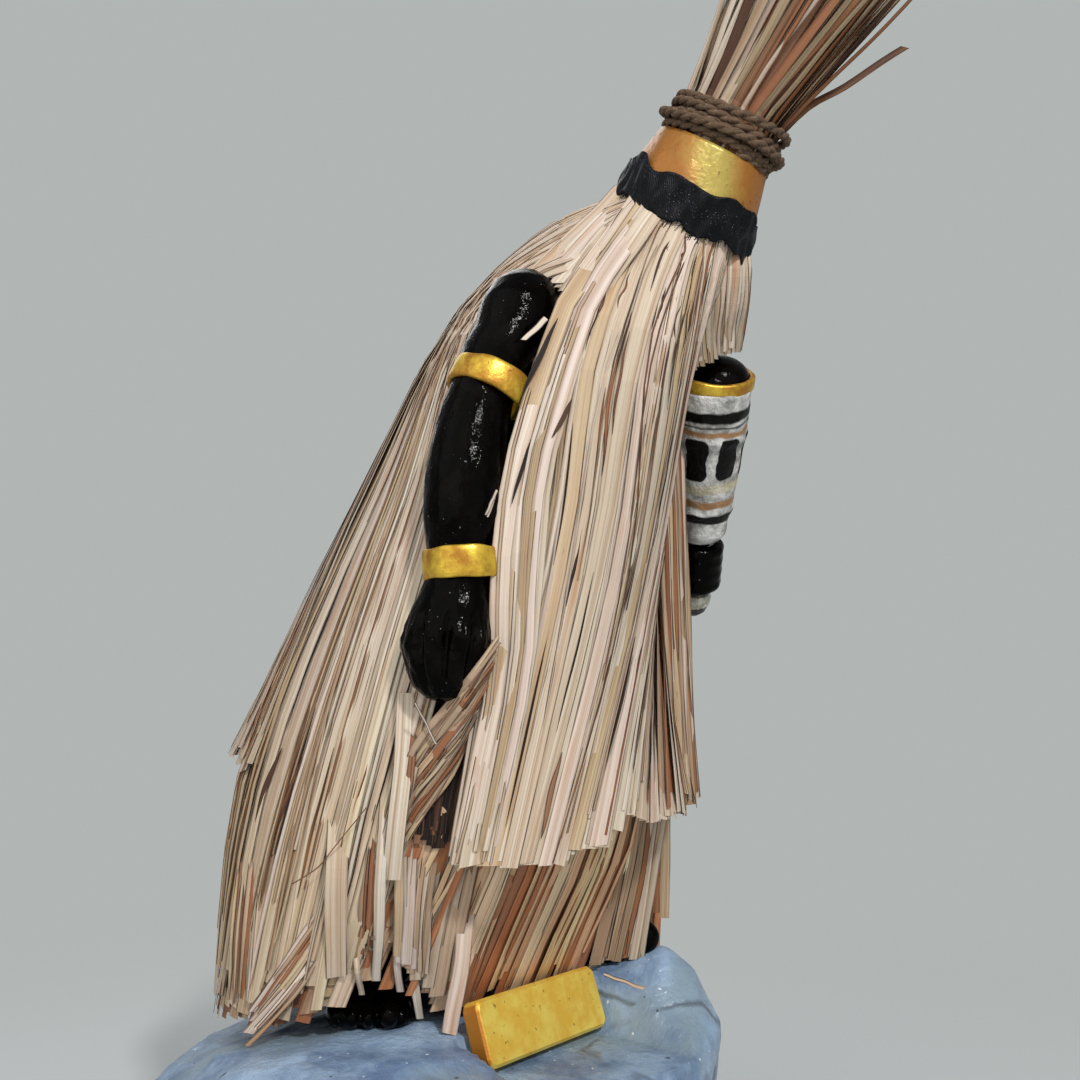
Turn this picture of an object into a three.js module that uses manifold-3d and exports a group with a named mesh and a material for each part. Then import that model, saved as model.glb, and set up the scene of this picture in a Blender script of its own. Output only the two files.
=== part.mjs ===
// Plaster figure under a straw cape, standing on a painted rock. Sizes are in millimetres.
// +Z is up, the figure faces -Y and its right side is -X. The origin is the middle of the underside.
import * as THREE from "three";
import Module from "manifold-3d";

const wasm = await Module();
wasm.setup();

// Driving sizes
const FIT = 0.3; // clear space between neighbouring pieces
const ROCK_LENGTH = 150;
const ROCK_DEPTH = 134;
const ROCK_HEIGHT = 45.5; // the deck the figure stands on
const STEP_HEIGHT = 8; // how far the rock swells under the left foot
const FRONT_DIP = 8; // how far the rock falls towards the plaque
const BACK_FALL = 9; // how far the rock falls towards the back
const PLAQUE_WIDTH = 50;
const PLAQUE_HEIGHT = 15;
const PLAQUE_THICK = 5;
const PLAQUE_LEAN = 18.6; // degrees back from upright
const PLAQUE_CORNER = 2.4;
const PLAQUE_BEVEL = 0.7;
const FOOT_LENGTH = 38;
const FOOT_WIDTH = 20;
const FOOT_ROOM = 5.6; // longer and wider hollow in the rock than the foot
const LEG_RADIUS = 8.6;
const PIN_RADIUS = 1.4;
const PIN_IN_ROCK = 14.2;
const PIN_IN_LEG = 12;
const PIN_IN_CHEST = 14;
const PIN_IN_ARM = 2;
const SHOULDER_RADIUS = 9.6;
const FINGER_RADIUS = 2.4;
const THUMB_RADIUS = 2.6;
const BAND_THICK = 1.1; // armlets and bracelets
const HEAD_HEIGHT = 194; // middle of the ribbon above the deck
const HEAD_FORWARD = 76.5; // middle of the ribbon ahead of the rock's middle
const HEAD_TILT = 32; // degrees forward from upright
const HEAD_RADIUS = 11.6;
const HEAD_LONG = 24.4; // from the crown to the chin
const NECK_RADIUS = 8;
const RIBBON_RADIUS = 17.2;
const RIBBON_WIDTH = 10;
const RIBBON_THICK = 0.7;
const COLLAR_TOP_RADIUS = 14.3;
const COLLAR_LENGTH = 11.8;
const COLLAR_THICK = 0.7;
const COLLAR_LAP = 2; // how far the collar dips behind the ribbon
const TWINE_DIAMETER = 2.1;
const TWINE_PITCH = 2.65;
const TWINE_TURNS = 3.75;
const BUNDLE_RADIUS = 12.4; // tied straw inside the twine
const TUFT_LENGTH = 44; // strands above the binding
const TUFT_FAN = 1.75; // how much wider the tuft is at its tips
const TUFT_STRANDS = 112;
const BARREL_LENGTH = 42.5;
const BARREL_TOP_RADIUS = 10.2;
const BARREL_LOW_RADIUS = 6.8;
const RIM_HEIGHT = 2.4;
const DOME_RADIUS = 8.2;
const DOME_HEIGHT = 6.3;
const ROD_RADIUS = 2.6;
const POMMEL_LENGTH = 7;
const FIST_HALF = 8; // the fist along the scepter
const PALM_RADIUS = 7.4;
const STRAW_THICK = 0.8;
const FRONT_STRANDS = 50;
const BACK_STRANDS = 60;
const SKIRT_STRANDS = 78;
const WAIST_TOP = 106; // upper edge of the skirt's band above the deck
const WAIST_LOW = 98;
const WAIST_CORD_RADIUS = 1.1;
const CAPE_HEM = 51; // middle of the hem ring above the deck
const SKIRT_HEM = 1.5; // lowest skirt ends above the deck

const RAD = Math.PI / 180;
const WELD = 1e-4; // points closer than this are one point
const vec = (x, y, z) => new THREE.Vector3(x, y, z);
const X = vec(1, 0, 0);
const Y = vec(0, 1, 0);
const Z = vec(0, 0, 1);
const up = (h) => ROCK_HEIGHT + h;
const mix = (a, b, t) => a + (b - a) * t;
const clamp01 = (v) => Math.min(Math.max(v, 0), 1);
const bell = (x, width) => Math.exp(-((x / width) ** 2));
const turnNear = (degrees, at) => THREE.MathUtils.euclideanModulo(degrees - at + 180, 360) - 180;
// A repeatable value from 0 to 1 for strand i
const vary = (i, seed) => {
  const spread = Math.sin(i * 12.9898 + seed * 78.233) * 43758.5453;
  return spread - Math.floor(spread);
};

// Joining and cutting: a geometry is welded into a solid, and a solid is read back as a geometry
function weld(geometry) {
  const position = geometry.getAttribute("position");
  const seen = new Map();
  const points = [];
  const slot = [];
  for (let i = 0; i < position.count; i += 1) {
    const p = vec().fromBufferAttribute(position, i);
    const key = p.toArray().map((v) => Math.round(v / WELD)).join();
    if (!seen.has(key)) seen.set(key, points.push(p) - 1);
    slot.push(seen.get(key));
  }
  const order = geometry.index ? Array.from(geometry.index.array) : slot.map((_, i) => i);
  const index = [];
  for (let i = 0; i < order.length; i += 3) {
    const [a, b, c] = order.slice(i, i + 3).map((k) => slot[k]);
    if (a !== b && b !== c && c !== a) index.push([a, b, c]);
  }
  return { points, index };
}

function solidOf(geometry) {
  const { points, index } = weld(geometry);
  let volume = 0;
  for (const [a, b, c] of index) volume += points[a].dot(points[b].clone().cross(points[c]));
  if (volume < 0) index.forEach((face) => face.reverse());
  const position = new Float32Array(points.length * 3);
  points.forEach((p, i) => p.toArray(position, 3 * i));
  const mesh = { numProp: 3, vertProperties: position, triVerts: new Uint32Array(index.flat()) };
  return new wasm.Manifold(new wasm.Mesh(mesh));
}

function carve(parts, cuts = []) {
  let solid = wasm.Manifold.union(parts.map(solidOf));
  if (cuts.length > 0) solid = solid.subtract(wasm.Manifold.union(cuts.map(solidOf)));
  const mesh = solid.getMesh();
  const geometry = new THREE.BufferGeometry();
  geometry.setAttribute("position", new THREE.BufferAttribute(new Float32Array(mesh.vertProperties), 3));
  geometry.setIndex(new THREE.BufferAttribute(new Uint32Array(mesh.triVerts), 1));
  geometry.computeVertexNormals();
  return geometry;
}

// Shapes
function shell(points, index) {
  const geometry = new THREE.BufferGeometry().setFromPoints(points);
  geometry.setIndex(index);
  return geometry;
}

const quad = (index, a, b, c, d) => index.push(a, b, c, a, c, d);

// A flat end over one ring of a loft, as a fan from its middle
function endCap(points, index, start, n, flip) {
  const middle = vec(0, 0, 0);
  for (let i = 0; i < n; i += 1) middle.add(points[start + i]);
  const tip = points.push(middle.divideScalar(n)) - 1;
  for (let i = 0; i < n; i += 1) {
    const a = start + i;
    const b = start + ((i + 1) % n);
    if (flip) index.push(tip, b, a);
    else index.push(tip, a, b);
  }
}

// Rings of equal point count joined one after another, with ends or closed on itself like a ring
function loft(rings, closed = false) {
  const n = rings[0].length;
  const points = rings.flat();
  const index = [];
  const joins = closed ? rings.length : rings.length - 1;
  for (let j = 0; j < joins; j += 1) {
    const next = (j + 1) % rings.length;
    for (let i = 0; i < n; i += 1) {
      const k = (i + 1) % n;
      quad(index, j * n + i, j * n + k, next * n + k, next * n + i);
    }
  }
  if (!closed) {
    endCap(points, index, 0, n, true);
    endCap(points, index, (rings.length - 1) * n, n, false);
  }
  return shell(points, index);
}

// A ring of points round a centre in the plane of two axes
function ovalRing(centre, axisA, axisB, radiusA, radiusB, n) {
  return Array.from({ length: n }, (_, i) => {
    const t = (2 * Math.PI * i) / n;
    return centre.clone()
      .addScaledVector(axisA, radiusA * Math.cos(t))
      .addScaledVector(axisB, radiusB * Math.sin(t));
  });
}

// Rings of a limb through stations of [x, y, height above the deck, radius across, radius fore and aft]
function limbRings(stations, side, n, grow = 0) {
  const middles = stations.map(([x, y, h]) => vec(x, y, up(h)));
  return stations.map((station, k) => {
    const next = middles[Math.min(k + 1, middles.length - 1)];
    const last = middles[Math.max(k - 1, 0)];
    const along = next.clone().sub(last).normalize();
    const a = side.clone().addScaledVector(along, -side.dot(along)).normalize();
    const b = along.clone().cross(a);
    return ovalRing(middles[k], a, b, station[3] + grow, station[4] + grow, n);
  });
}

const ball = (centre, radius, around, high) => new THREE.SphereGeometry(radius, around, high)
  .rotateX(Math.PI / 2)
  .translate(centre.x, centre.y, centre.z);

// The place and turn that carry +Z onto the line between two points
function lineMatrix(from, to) {
  const along = to.clone().sub(from).normalize();
  const turn = new THREE.Quaternion().setFromUnitVectors(Z, along);
  return new THREE.Matrix4().compose(from.clone().lerp(to, 0.5), turn, vec(1, 1, 1));
}

const rod = (length, radius, n) => new THREE.CylinderGeometry(radius, radius, length, n).rotateX(Math.PI / 2);
const drill = (from, to, radius, n) => rod(from.distanceTo(to), radius, n).applyMatrix4(lineMatrix(from, to));

// A piece turned round +Z from a closed outline of [radius, height]
function turned(outline, n) {
  const points = [...outline, outline[0]].map(([r, s]) => new THREE.Vector2(r, s));
  return new THREE.LatheGeometry(points, n).rotateX(Math.PI / 2);
}

// Feet: where each sole sits, which way its toes point and where its leg goes
const FEET = {
  right: { x: -17.5, y: 4.6, sole: -1, dir: vec(-0.77, -0.64, 0).normalize(), legX: -10, legY: 10, big: 1 },
  left: { x: 39.5, y: -22, sole: 4, dir: vec(0.34, -0.94, 0).normalize(), legX: 31, legY: -6, big: -1 },
};
const ANKLE_BACK = 0.26; // share of the foot's length behind its middle
const FOOT_ROUND = 0.75; // squareness of the foot's outline, 1 is an oval
const HEEL_NARROW = 0.12;

const soleAt = (foot) => vec(foot.x, foot.y, up(foot.sole));
const ankleAt = (foot, rise) => soleAt(foot)
  .addScaledVector(foot.dir, -ANKLE_BACK * FOOT_LENGTH)
  .addScaledVector(Z, rise);
const acrossFoot = (foot) => Z.clone().cross(foot.dir);

// Outline of a foot at one height above its sole
function footRing(foot, rise, shift, length, width, n) {
  const across = acrossFoot(foot);
  const square = (v) => Math.sign(v) * Math.abs(v) ** FOOT_ROUND;
  return Array.from({ length: n }, (_, i) => {
    const t = (2 * Math.PI * i) / n;
    const along = square(Math.cos(t));
    const wide = 1 + HEEL_NARROW * along;
    return soleAt(foot)
      .addScaledVector(foot.dir, shift + (length / 2) * along)
      .addScaledVector(across, (width / 2) * wide * square(Math.sin(t)))
      .addScaledVector(Z, rise);
  });
}

// Rows of the rock from the underside to the deck: [share of the outline, share of the height]
const ROCK_ROWS = [
  [0.97, 0], [1, 0.08], [1.01, 0.3], [0.985, 0.56], [0.945, 0.78],
  [0.88, 0.92], [0.76, 0.985], [0.42, 1],
];
const PLAQUE_X = -2.1;
const PLAQUE_Y = -34.5;
const PLAQUE_Z = 0.4; // middle of the plaque from the deck
const STEP_AT = vec(43, -29, 0);
const STEP_SPREAD = 29;
const BROAD_SIDE = 0.95; // radians round to the corner where the rock is broadest
const HOLLOW_OPEN = 30; // how far the cuts stand out of the rock

const plaqueAt = () => vec(PLAQUE_X, PLAQUE_Y, up(PLAQUE_Z));

function rockRing(row, n) {
  const [share, level] = ROCK_ROWS[row];
  const deck = row === ROCK_ROWS.length - 1;
  return Array.from({ length: n }, (_, i) => {
    const t = (2 * Math.PI * i) / n;
    const lump = 0.028 * Math.sin(3 * t + 0.8 * row) + 0.022 * Math.sin(7 * t + 1.9 * row + 1)
      + 0.012 * Math.sin(11 * t - 1.3 * row);
    const broad = 0.1 * bell(Math.atan2(Math.sin(t + BROAD_SIDE), Math.cos(t + BROAD_SIDE)), 0.75);
    const edge = share * (deck ? 1 : 1 + lump + broad);
    const x = (ROCK_LENGTH / 2) * edge * Math.cos(t);
    const y = (ROCK_DEPTH / 2) * edge * Math.sin(t);
    const dip = FRONT_DIP * clamp01((-y - 22) / 22) ** 2 * Math.exp(-(((x - PLAQUE_X) / 34) ** 4));
    const swell = STEP_HEIGHT * bell(Math.hypot(x - STEP_AT.x, y - STEP_AT.y), STEP_SPREAD);
    const fall = BACK_FALL * clamp01((y - 6 - 0.25 * x) / 48);
    const rough = 0.5 * Math.sin(5 * t + 2 * row);
    const high = Math.max(level - 0.5, 0) * 2;
    return vec(x, y, level * ROCK_HEIGHT + high * (swell - dip - fall + rough));
  });
}

function rockBase() {
  const cuts = [];
  for (const foot of Object.values(FEET)) {
    const long = FOOT_LENGTH + FOOT_ROOM + 2 * FIT;
    const wide = FOOT_WIDTH + FOOT_ROOM - 0.8 + 2 * FIT;
    cuts.push(loft([
      footRing(foot, -FIT, 0, long, wide, 20),
      footRing(foot, HOLLOW_OPEN, 0, long + 1, wide + 1, 20),
    ]));
    cuts.push(drill(ankleAt(foot, -PIN_IN_ROCK - FIT), ankleAt(foot, 1), PIN_RADIUS + FIT / 2, 12));
  }
  const deep = PLAQUE_THICK + FIT + HOLLOW_OPEN;
  const tall = PLAQUE_HEIGHT + FIT + HOLLOW_OPEN;
  const slot = new THREE.BoxGeometry(PLAQUE_WIDTH + 2 * FIT, deep, tall);
  slot.translate(0, (PLAQUE_THICK - deep) / 2 + FIT, (tall - PLAQUE_HEIGHT) / 2 - FIT);
  slot.rotateX(-PLAQUE_LEAN * RAD);
  slot.translate(...plaqueAt().toArray());
  cuts.push(slot);
  return carve([loft(ROCK_ROWS.map((_, row) => rockRing(row, 44)))], cuts);
}

// The plaque stands on its own frame: its face looks to -Y before it leans back
function namePlaque() {
  const w = PLAQUE_WIDTH / 2 - PLAQUE_BEVEL;
  const h = PLAQUE_HEIGHT / 2 - PLAQUE_BEVEL;
  const corner = PLAQUE_CORNER - PLAQUE_BEVEL;
  const shape = new THREE.Shape();
  shape.moveTo(-w + corner, -h);
  shape.absarc(w - corner, -h + corner, corner, -90 * RAD, 0);
  shape.absarc(w - corner, h - corner, corner, 0, 90 * RAD);
  shape.absarc(-w + corner, h - corner, corner, 90 * RAD, 180 * RAD);
  shape.absarc(-w + corner, -h + corner, corner, 180 * RAD, 270 * RAD);
  const slab = new THREE.ExtrudeGeometry(shape, {
    depth: PLAQUE_THICK - 2 * PLAQUE_BEVEL,
    bevelThickness: PLAQUE_BEVEL,
    bevelSize: PLAQUE_BEVEL,
    bevelSegments: 1,
    curveSegments: 4,
  });
  slab.translate(0, 0, PLAQUE_BEVEL - PLAQUE_THICK / 2).rotateX(Math.PI / 2);
  return carve([slab]);
}

// The head's own frame: the origin is the middle of the ribbon and s runs up the tilted axis
const HEAD_TURN = HEAD_TILT * RAD;
const HEAD_UP = Z.clone().applyAxisAngle(X, HEAD_TURN);
const HEAD_BACK = Y.clone().applyAxisAngle(X, HEAD_TURN);
const headAt = (s) => vec(0, -HEAD_FORWARD, up(HEAD_HEIGHT)).addScaledVector(HEAD_UP, s);
const RIBBON_HALF = RIBBON_WIDTH / 2;

// Arm stations: [x, y, height above the deck, radius across, radius fore and aft]
const SHOULDER = [30, -49, 163.6];
const RIGHT_ARM = [
  [-31, -48.5, 161, 8.8, 9.2], [-34.4, -46.4, 154.5, 8.5, 8.8], [-37.2, -44.4, 149, 7.9, 8.0],
  [-39.6, -43, 142, 7.9, 8.0], [-42, -42.2, 131, 8.3, 8.4], [-43.2, -41.9, 121, 8.7, 8.8],
  [-43.7, -41.4, 113, 8.1, 8.2], [-43.9, -40.9, 108, 7.1, 7.2], [-44, -40.7, 103, 6.7, 6.9],
  [-44.2, -40.2, 99.5, 6.9, 7.3], [-44.6, -39.4, 94, 7.4, 8.7], [-45, -38.6, 87, 7.6, 9.4],
  [-45.5, -38, 80.5, 6.6, 8.6], [-46, -37.6, 77, 4.6, 6.4],
];
const LEFT_UPPER = [
  [31, -48.5, 161, 8.8, 9.2], [34, -46, 154.5, 8.5, 8.8], [37, -43, 148, 7.9, 8.0],
  [40, -38.5, 140, 7.9, 8.0], [43, -33, 131, 8.2, 8.2], [44.5, -30, 126, 8.2, 8.2],
];
const LEFT_LOWER = [
  [44.5, -27.5, 127.5, 7.6, 7.6], [45.2, -33.5, 122.8, 8.4, 8.4], [45.7, -39.5, 118.8, 8, 8],
  [45.5, -43.6, 117, 7, 7], [45, -47, 116, 6.7, 6.7], [44.4, -51.5, 114.6, 6.6, 6.6],
];
const shoulderAt = (sign) => vec(sign * SHOULDER[0], SHOULDER[1], up(SHOULDER[2]));
const chestEnd = (sign) => shoulderAt(sign).add(vec(-sign * PIN_IN_CHEST, 2, -1));
const armEnd = (sign) => shoulderAt(sign).add(vec(sign * PIN_IN_ARM, 0, 0));

// Body rows: [height above the deck, middle in y, half width, half depth]
const BODY_ROWS = [
  [17, 10, 38, 32], [22, 9, 39.5, 33.5], [40, 4, 38, 34], [60, -5, 34, 33], [84, -15, 25, 24],
  [101, -22, 18.6, 16.6], [124, -30, 21, 16], [146, -39, 23.6, 14.6], [158, -45.5, 23, 12.4],
  [166, -50.5, 15, 10],
];
const bodyRing = ([h, y, rx, ry], n) => ovalRing(vec(0, y, up(h)), X, Y, rx, ry, n);

// Rows of a foot: [rise, share of the length, share of the width, share of the way back to the ankle]
const FOOT_ROWS = [
  [0, 0.92, 0.9, 0], [2.5, 0.97, 1, 0], [6, 0.83, 0.9, 0.25], [9.5, 0.55, 0.8, 0.75], [13, 0.42, 0.78, 1],
];
const LEG_TOP = 20;
const TOES = 5;

function footAndLeg(foot) {
  const n = 16;
  const rings = FOOT_ROWS.map(([rise, long, wide, back]) =>
    footRing(foot, rise, -back * ANKLE_BACK * FOOT_LENGTH, FOOT_LENGTH * long, FOOT_WIDTH * wide, n));
  const legTop = vec(foot.legX, foot.legY, up(LEG_TOP));
  rings.push(ovalRing(legTop, foot.dir, acrossFoot(foot), LEG_RADIUS, LEG_RADIUS, n));
  const solids = [loft(rings)];
  for (let i = 0; i < TOES; i += 1) {
    const radius = i === 0 ? 3 : 2.5 - 0.1 * i;
    const reach = FOOT_LENGTH / 2 - 1.6 - 0.85 * i - 0.25 * i * i;
    const toe = soleAt(foot)
      .addScaledVector(foot.dir, reach)
      .addScaledVector(acrossFoot(foot), foot.big * (0.34 - 0.17 * i) * FOOT_WIDTH)
      .addScaledVector(Z, radius);
    solids.push(ball(toe, radius, 6, 4));
  }
  return solids;
}

// An egg under the straw, and the neck that carries it
function headAndNeck() {
  const crown = RIBBON_HALF - 2.4;
  const middle = crown - HEAD_LONG / 2;
  const egg = loft([-0.92, -0.6, 0, 0.56, 0.93].map((share) => {
    const radius = HEAD_RADIUS * Math.sqrt(1 - share * share);
    return ovalRing(headAt(middle + (share * HEAD_LONG) / 2), X, HEAD_BACK, radius, radius, 18);
  }));
  const [h, y] = BODY_ROWS[BODY_ROWS.length - 1];
  const low = vec(0, y, up(h - NECK_RADIUS));
  const high = headAt(middle);
  return [egg, drill(low, high, NECK_RADIUS, 16)];
}

function figureBody() {
  const solids = [loft(BODY_ROWS.map((row) => bodyRing(row, 26))), ...headAndNeck()];
  const cuts = [];
  for (const sign of [-1, 1]) {
    cuts.push(ball(shoulderAt(sign), SHOULDER_RADIUS + 1.4 * FIT, 16, 10));
    const past = chestEnd(sign).sub(armEnd(sign)).setLength(FIT);
    cuts.push(drill(chestEnd(sign).add(past), armEnd(sign), PIN_RADIUS + FIT / 2, 12));
  }
  for (const foot of Object.values(FEET)) {
    solids.push(...footAndLeg(foot));
    cuts.push(drill(ankleAt(foot, -1), ankleAt(foot, PIN_IN_LEG + FIT), PIN_RADIUS + FIT / 2, 12));
  }
  return carve(solids, cuts);
}

function pinHoleInArm(sign) {
  const past = armEnd(sign).sub(chestEnd(sign)).setLength(FIT);
  return drill(chestEnd(sign), armEnd(sign).add(past), PIN_RADIUS + FIT / 2, 12);
}

// A finger as a short limb that narrows at its tip
function finger(points, radius) {
  const stations = points.map((p, i) => {
    const r = i + 1 < points.length ? radius : radius * 0.55;
    return [...p, r, r];
  });
  return loft(limbRings(stations, vec(0.2, 1, 0.1).normalize(), 6));
}

const FINGERS = 4;
const FINGER_STEP = 4.2;
const FIRST_FINGER_Y = -44.4;

function rightArm() {
  const solids = [ball(shoulderAt(-1), SHOULDER_RADIUS, 16, 10), loft(limbRings(RIGHT_ARM, X, 16))];
  for (let i = 0; i < FINGERS; i += 1) {
    const y = FIRST_FINGER_Y + FINGER_STEP * i;
    const knuckles = [[-48.2, y, 89], [-50.2, y + 0.2, 84], [-49.6, y + 0.5, 79], [-46.6, y + 0.6, 75.6]];
    solids.push(finger(knuckles, FINGER_RADIUS));
  }
  solids.push(finger([[-45, -46.6, 93], [-45.4, -48.4, 86], [-45.4, -47, 80.5]], THUMB_RADIUS));
  return carve(solids, [pinHoleInArm(-1)]);
}

// The scepter's own frame: s runs up its axis from the middle of the fist
const FIST = [44.3, -55.5, 113.2];
const SCEPTER_LEAN = [-24.9, -17.7, 41.6];
const SCEPTER_UP = vec(...SCEPTER_LEAN).normalize();
const SCEPTER_TURN = new THREE.Quaternion().setFromUnitVectors(Z, SCEPTER_UP);
const SCEPTER_A = X.clone().applyQuaternion(SCEPTER_TURN);
const SCEPTER_B = Y.clone().applyQuaternion(SCEPTER_TURN);
const fistAt = () => vec(FIST[0], FIST[1], up(FIST[2]));
const scepterAt = (s) => fistAt().addScaledVector(SCEPTER_UP, s);

const GRIP_RADIUS = 5.7; // from the rod's axis to the middle of a finger
const GRIP_FINGER = 2.1;
const GRIP_STEP = 3.6;
const GRIP_FROM = 75; // degrees round the rod from the wrist
const GRIP_BEND = 37; // degrees from one finger ring to the next
const GRIP_RINGS = 6;

// Four fingers bent round the rod
function grip(toWrist) {
  const turn = SCEPTER_UP.clone().cross(toWrist);
  const fingers = [];
  for (let k = 0; k < FINGERS; k += 1) {
    const s = (k - (FINGERS - 1) / 2) * GRIP_STEP;
    const rings = Array.from({ length: GRIP_RINGS }, (_, i) => {
      const t = (GRIP_FROM + GRIP_BEND * i) * RAD;
      const out = toWrist.clone().multiplyScalar(Math.cos(t)).addScaledVector(turn, Math.sin(t));
      const at = scepterAt(s).addScaledVector(out, GRIP_RADIUS);
      return ovalRing(at, out, SCEPTER_UP, GRIP_FINGER, GRIP_FINGER, 6);
    });
    fingers.push(loft(rings));
  }
  return fingers;
}

function leftArm() {
  const [elbowX, elbowY, elbowH, elbowRadius] = LEFT_UPPER[LEFT_UPPER.length - 1];
  const [wristX, wristY, wristH] = LEFT_LOWER[LEFT_LOWER.length - 1];
  const toWrist = vec(wristX, wristY, up(wristH)).sub(fistAt());
  toWrist.addScaledVector(SCEPTER_UP, -toWrist.dot(SCEPTER_UP)).normalize();
  const palm = loft([-7, -4, 0, 4, 7].map((s) => {
    const wide = PALM_RADIUS * Math.sqrt(1 - (s / (FIST_HALF + 1.5)) ** 2);
    return ovalRing(scepterAt(s).addScaledVector(toWrist, 1.6), SCEPTER_A, SCEPTER_B, wide, wide, 14);
  }));
  const solids = [
    ball(shoulderAt(1), SHOULDER_RADIUS, 16, 10),
    loft(limbRings(LEFT_UPPER, X, 16)),
    ball(vec(elbowX, elbowY + 1, up(elbowH)), elbowRadius + 0.2, 14, 9),
    loft(limbRings(LEFT_LOWER, X, 16)),
    palm,
    ...grip(toWrist),
  ];
  const bore = drill(scepterAt(-FIST_HALF - 12), scepterAt(FIST_HALF + 12), ROD_RADIUS + FIT, 14);
  return carve(solids, [bore, pinHoleInArm(1)]);
}

// A gold band that follows the limb from one station to another
function limbBand(stations, from, to) {
  const between = (t) => {
    const k = Math.min(Math.floor(t), stations.length - 2);
    return stations[k].map((v, i) => mix(v, stations[k + 1][i], t - k));
  };
  const span = [from, (from + to) / 2, to].map(between);
  const outer = limbRings(span, X, 16, FIT + BAND_THICK);
  const inner = limbRings(span, X, 16, FIT);
  return carve([loft([...outer, ...inner.reverse()], true)]);
}

const BARREL_FROM = FIST_HALF + 0.8;
const BARREL_TO = BARREL_FROM + BARREL_LENGTH;
const RIM_FROM = BARREL_TO + FIT;
const POMMEL_TOP = -FIST_HALF - 1;
const ROD_LOW = POMMEL_TOP - 4;
// Rows of the barrel: [share of its length, how far the row stands proud]
const BARREL_ROWS = [
  [0, -0.6], [0.04, 0], [0.17, 0], [0.21, 0.5], [0.25, 0],
  [0.38, 0], [0.64, 0], [0.7, 0.5], [0.76, 0], [1, 0],
];

function scepterBarrel() {
  const bore = ROD_RADIUS + FIT;
  const outer = BARREL_ROWS.map(([share, proud]) => {
    const swell = Math.sin(share * 90 * RAD);
    return [mix(BARREL_LOW_RADIUS, BARREL_TOP_RADIUS, swell) + proud, mix(BARREL_FROM, BARREL_TO, share)];
  });
  return carve([turned([...outer, [bore, BARREL_TO], [bore, BARREL_FROM]], 22)]);
}

function scepterRim() {
  const r = BARREL_TOP_RADIUS;
  const inner = DOME_RADIUS + FIT;
  return carve([turned([
    [r - 0.2, RIM_FROM], [r + 0.4, RIM_FROM + RIM_HEIGHT / 3], [r + 0.3, RIM_FROM + 0.75 * RIM_HEIGHT],
    [r - 0.4, RIM_FROM + RIM_HEIGHT], [inner, RIM_FROM + RIM_HEIGHT], [inner, RIM_FROM],
  ], 22)]);
}

// The rod through the fist and barrel, with the dome that closes the top
function scepterCore() {
  const dome = [[1, 0], [1, 0.35], [0.93, 0.57], [0.72, 0.8], [0.4, 0.95], [0, 1]]
    .map(([wide, high]) => [DOME_RADIUS * wide, RIM_FROM + DOME_HEIGHT * high]);
  return carve([turned([[0, ROD_LOW], [ROD_RADIUS, ROD_LOW], [ROD_RADIUS, RIM_FROM], ...dome], 20)]);
}

function scepterPommel() {
  const low = POMMEL_TOP - POMMEL_LENGTH;
  const bore = ROD_RADIUS + FIT;
  const knob = [[1.6, 0], [2.2, 0.17], [1.8, 0.5], [0.9, 0.8], [-0.6, 1]]
    .map(([proud, down]) => [ROD_RADIUS + proud, mix(POMMEL_TOP, low, down)]);
  const socket = [[0, low], [0, ROD_LOW - FIT], [bore, ROD_LOW - FIT], [bore, POMMEL_TOP]];
  return carve([turned([...knob, ...socket], 16)]);
}

// Straw rings: degrees run from 0 at the front through 90 at the figure's left
function strawPoint(ring, degrees, out = 0) {
  const t = degrees * RAD;
  const tilt = ring.tilt * RAD;
  const bulge = 1 + (ring.shape ? ring.shape(degrees) : 0);
  const deep = Math.cos(t) > 0 ? ring.front : ring.back;
  const u = Math.sin(t) * (ring.side * bulge + out);
  const v = -Math.cos(t) * (deep * bulge + out);
  const lift = ring.lift ? ring.lift(degrees) : 0;
  const at = vec(u, ring.y + v * Math.cos(tilt), ring.z + v * Math.sin(tilt) + lift);
  if (ring.push) {
    const [x, y, near, width] = ring.push;
    at.addScaledVector(vec(x, y, 0), bell(turnNear(degrees, near), width));
  }
  return at;
}

// A ring of straw held under the ribbon at height s of the head's frame
function headStraw(s) {
  const at = headAt(s);
  const r = RIBBON_RADIUS - FIT - STRAW_THICK;
  return { y: at.y, z: at.z, tilt: HEAD_TILT, front: r, back: r, side: r };
}

// The cape leaves room for the scepter at the left of the front
const dent = (depth, at) => (d) => -depth * bell(turnNear(d, at), 36);

const CAPE_RINGS = [
  headStraw(RIBBON_HALF - 2.4),
  headStraw(0.8 - RIBBON_HALF),
  { y: -56, z: up(166.5), tilt: 25, front: 32, back: 26.5, side: 28, shape: dent(0.67, 34) },
  { y: -25, z: up(119.5), tilt: 12, front: 45, back: 40.5, side: 43, shape: dent(0.2, 42) },
  { y: -5, z: up(CAPE_HEM), tilt: 13.5, front: 60, back: 65, side: 51, push: [9, -9, 46, 32] },
];
// The back of the cape stands fuller over the shoulders than the front
const SHOULDER_RING = 2;
const FULL_SHOULDERS = { y: -55, z: up(168.5), tilt: 25, front: 32, back: 30.5, side: 29.5 };
const BACK_RINGS = CAPE_RINGS.map((ring, k) => (k === SHOULDER_RING ? FULL_SHOULDERS : ring));
// Degrees that each panel of the cape covers on each ring
const FRONT_ARCS = [[-92, 82], [-92, 82], [-82, 72], [-56, 62], [-55, 70]];
const BACK_ARCS = [[98, 264], [98, 264], [122, 238], [103, 263], [92, 281]];
const WHOLE_TURN = [0, 360];
const panelRings = (rings, arcs) => rings.map((ring, k) => ({ ...ring, arc: arcs[k] }));

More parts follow.
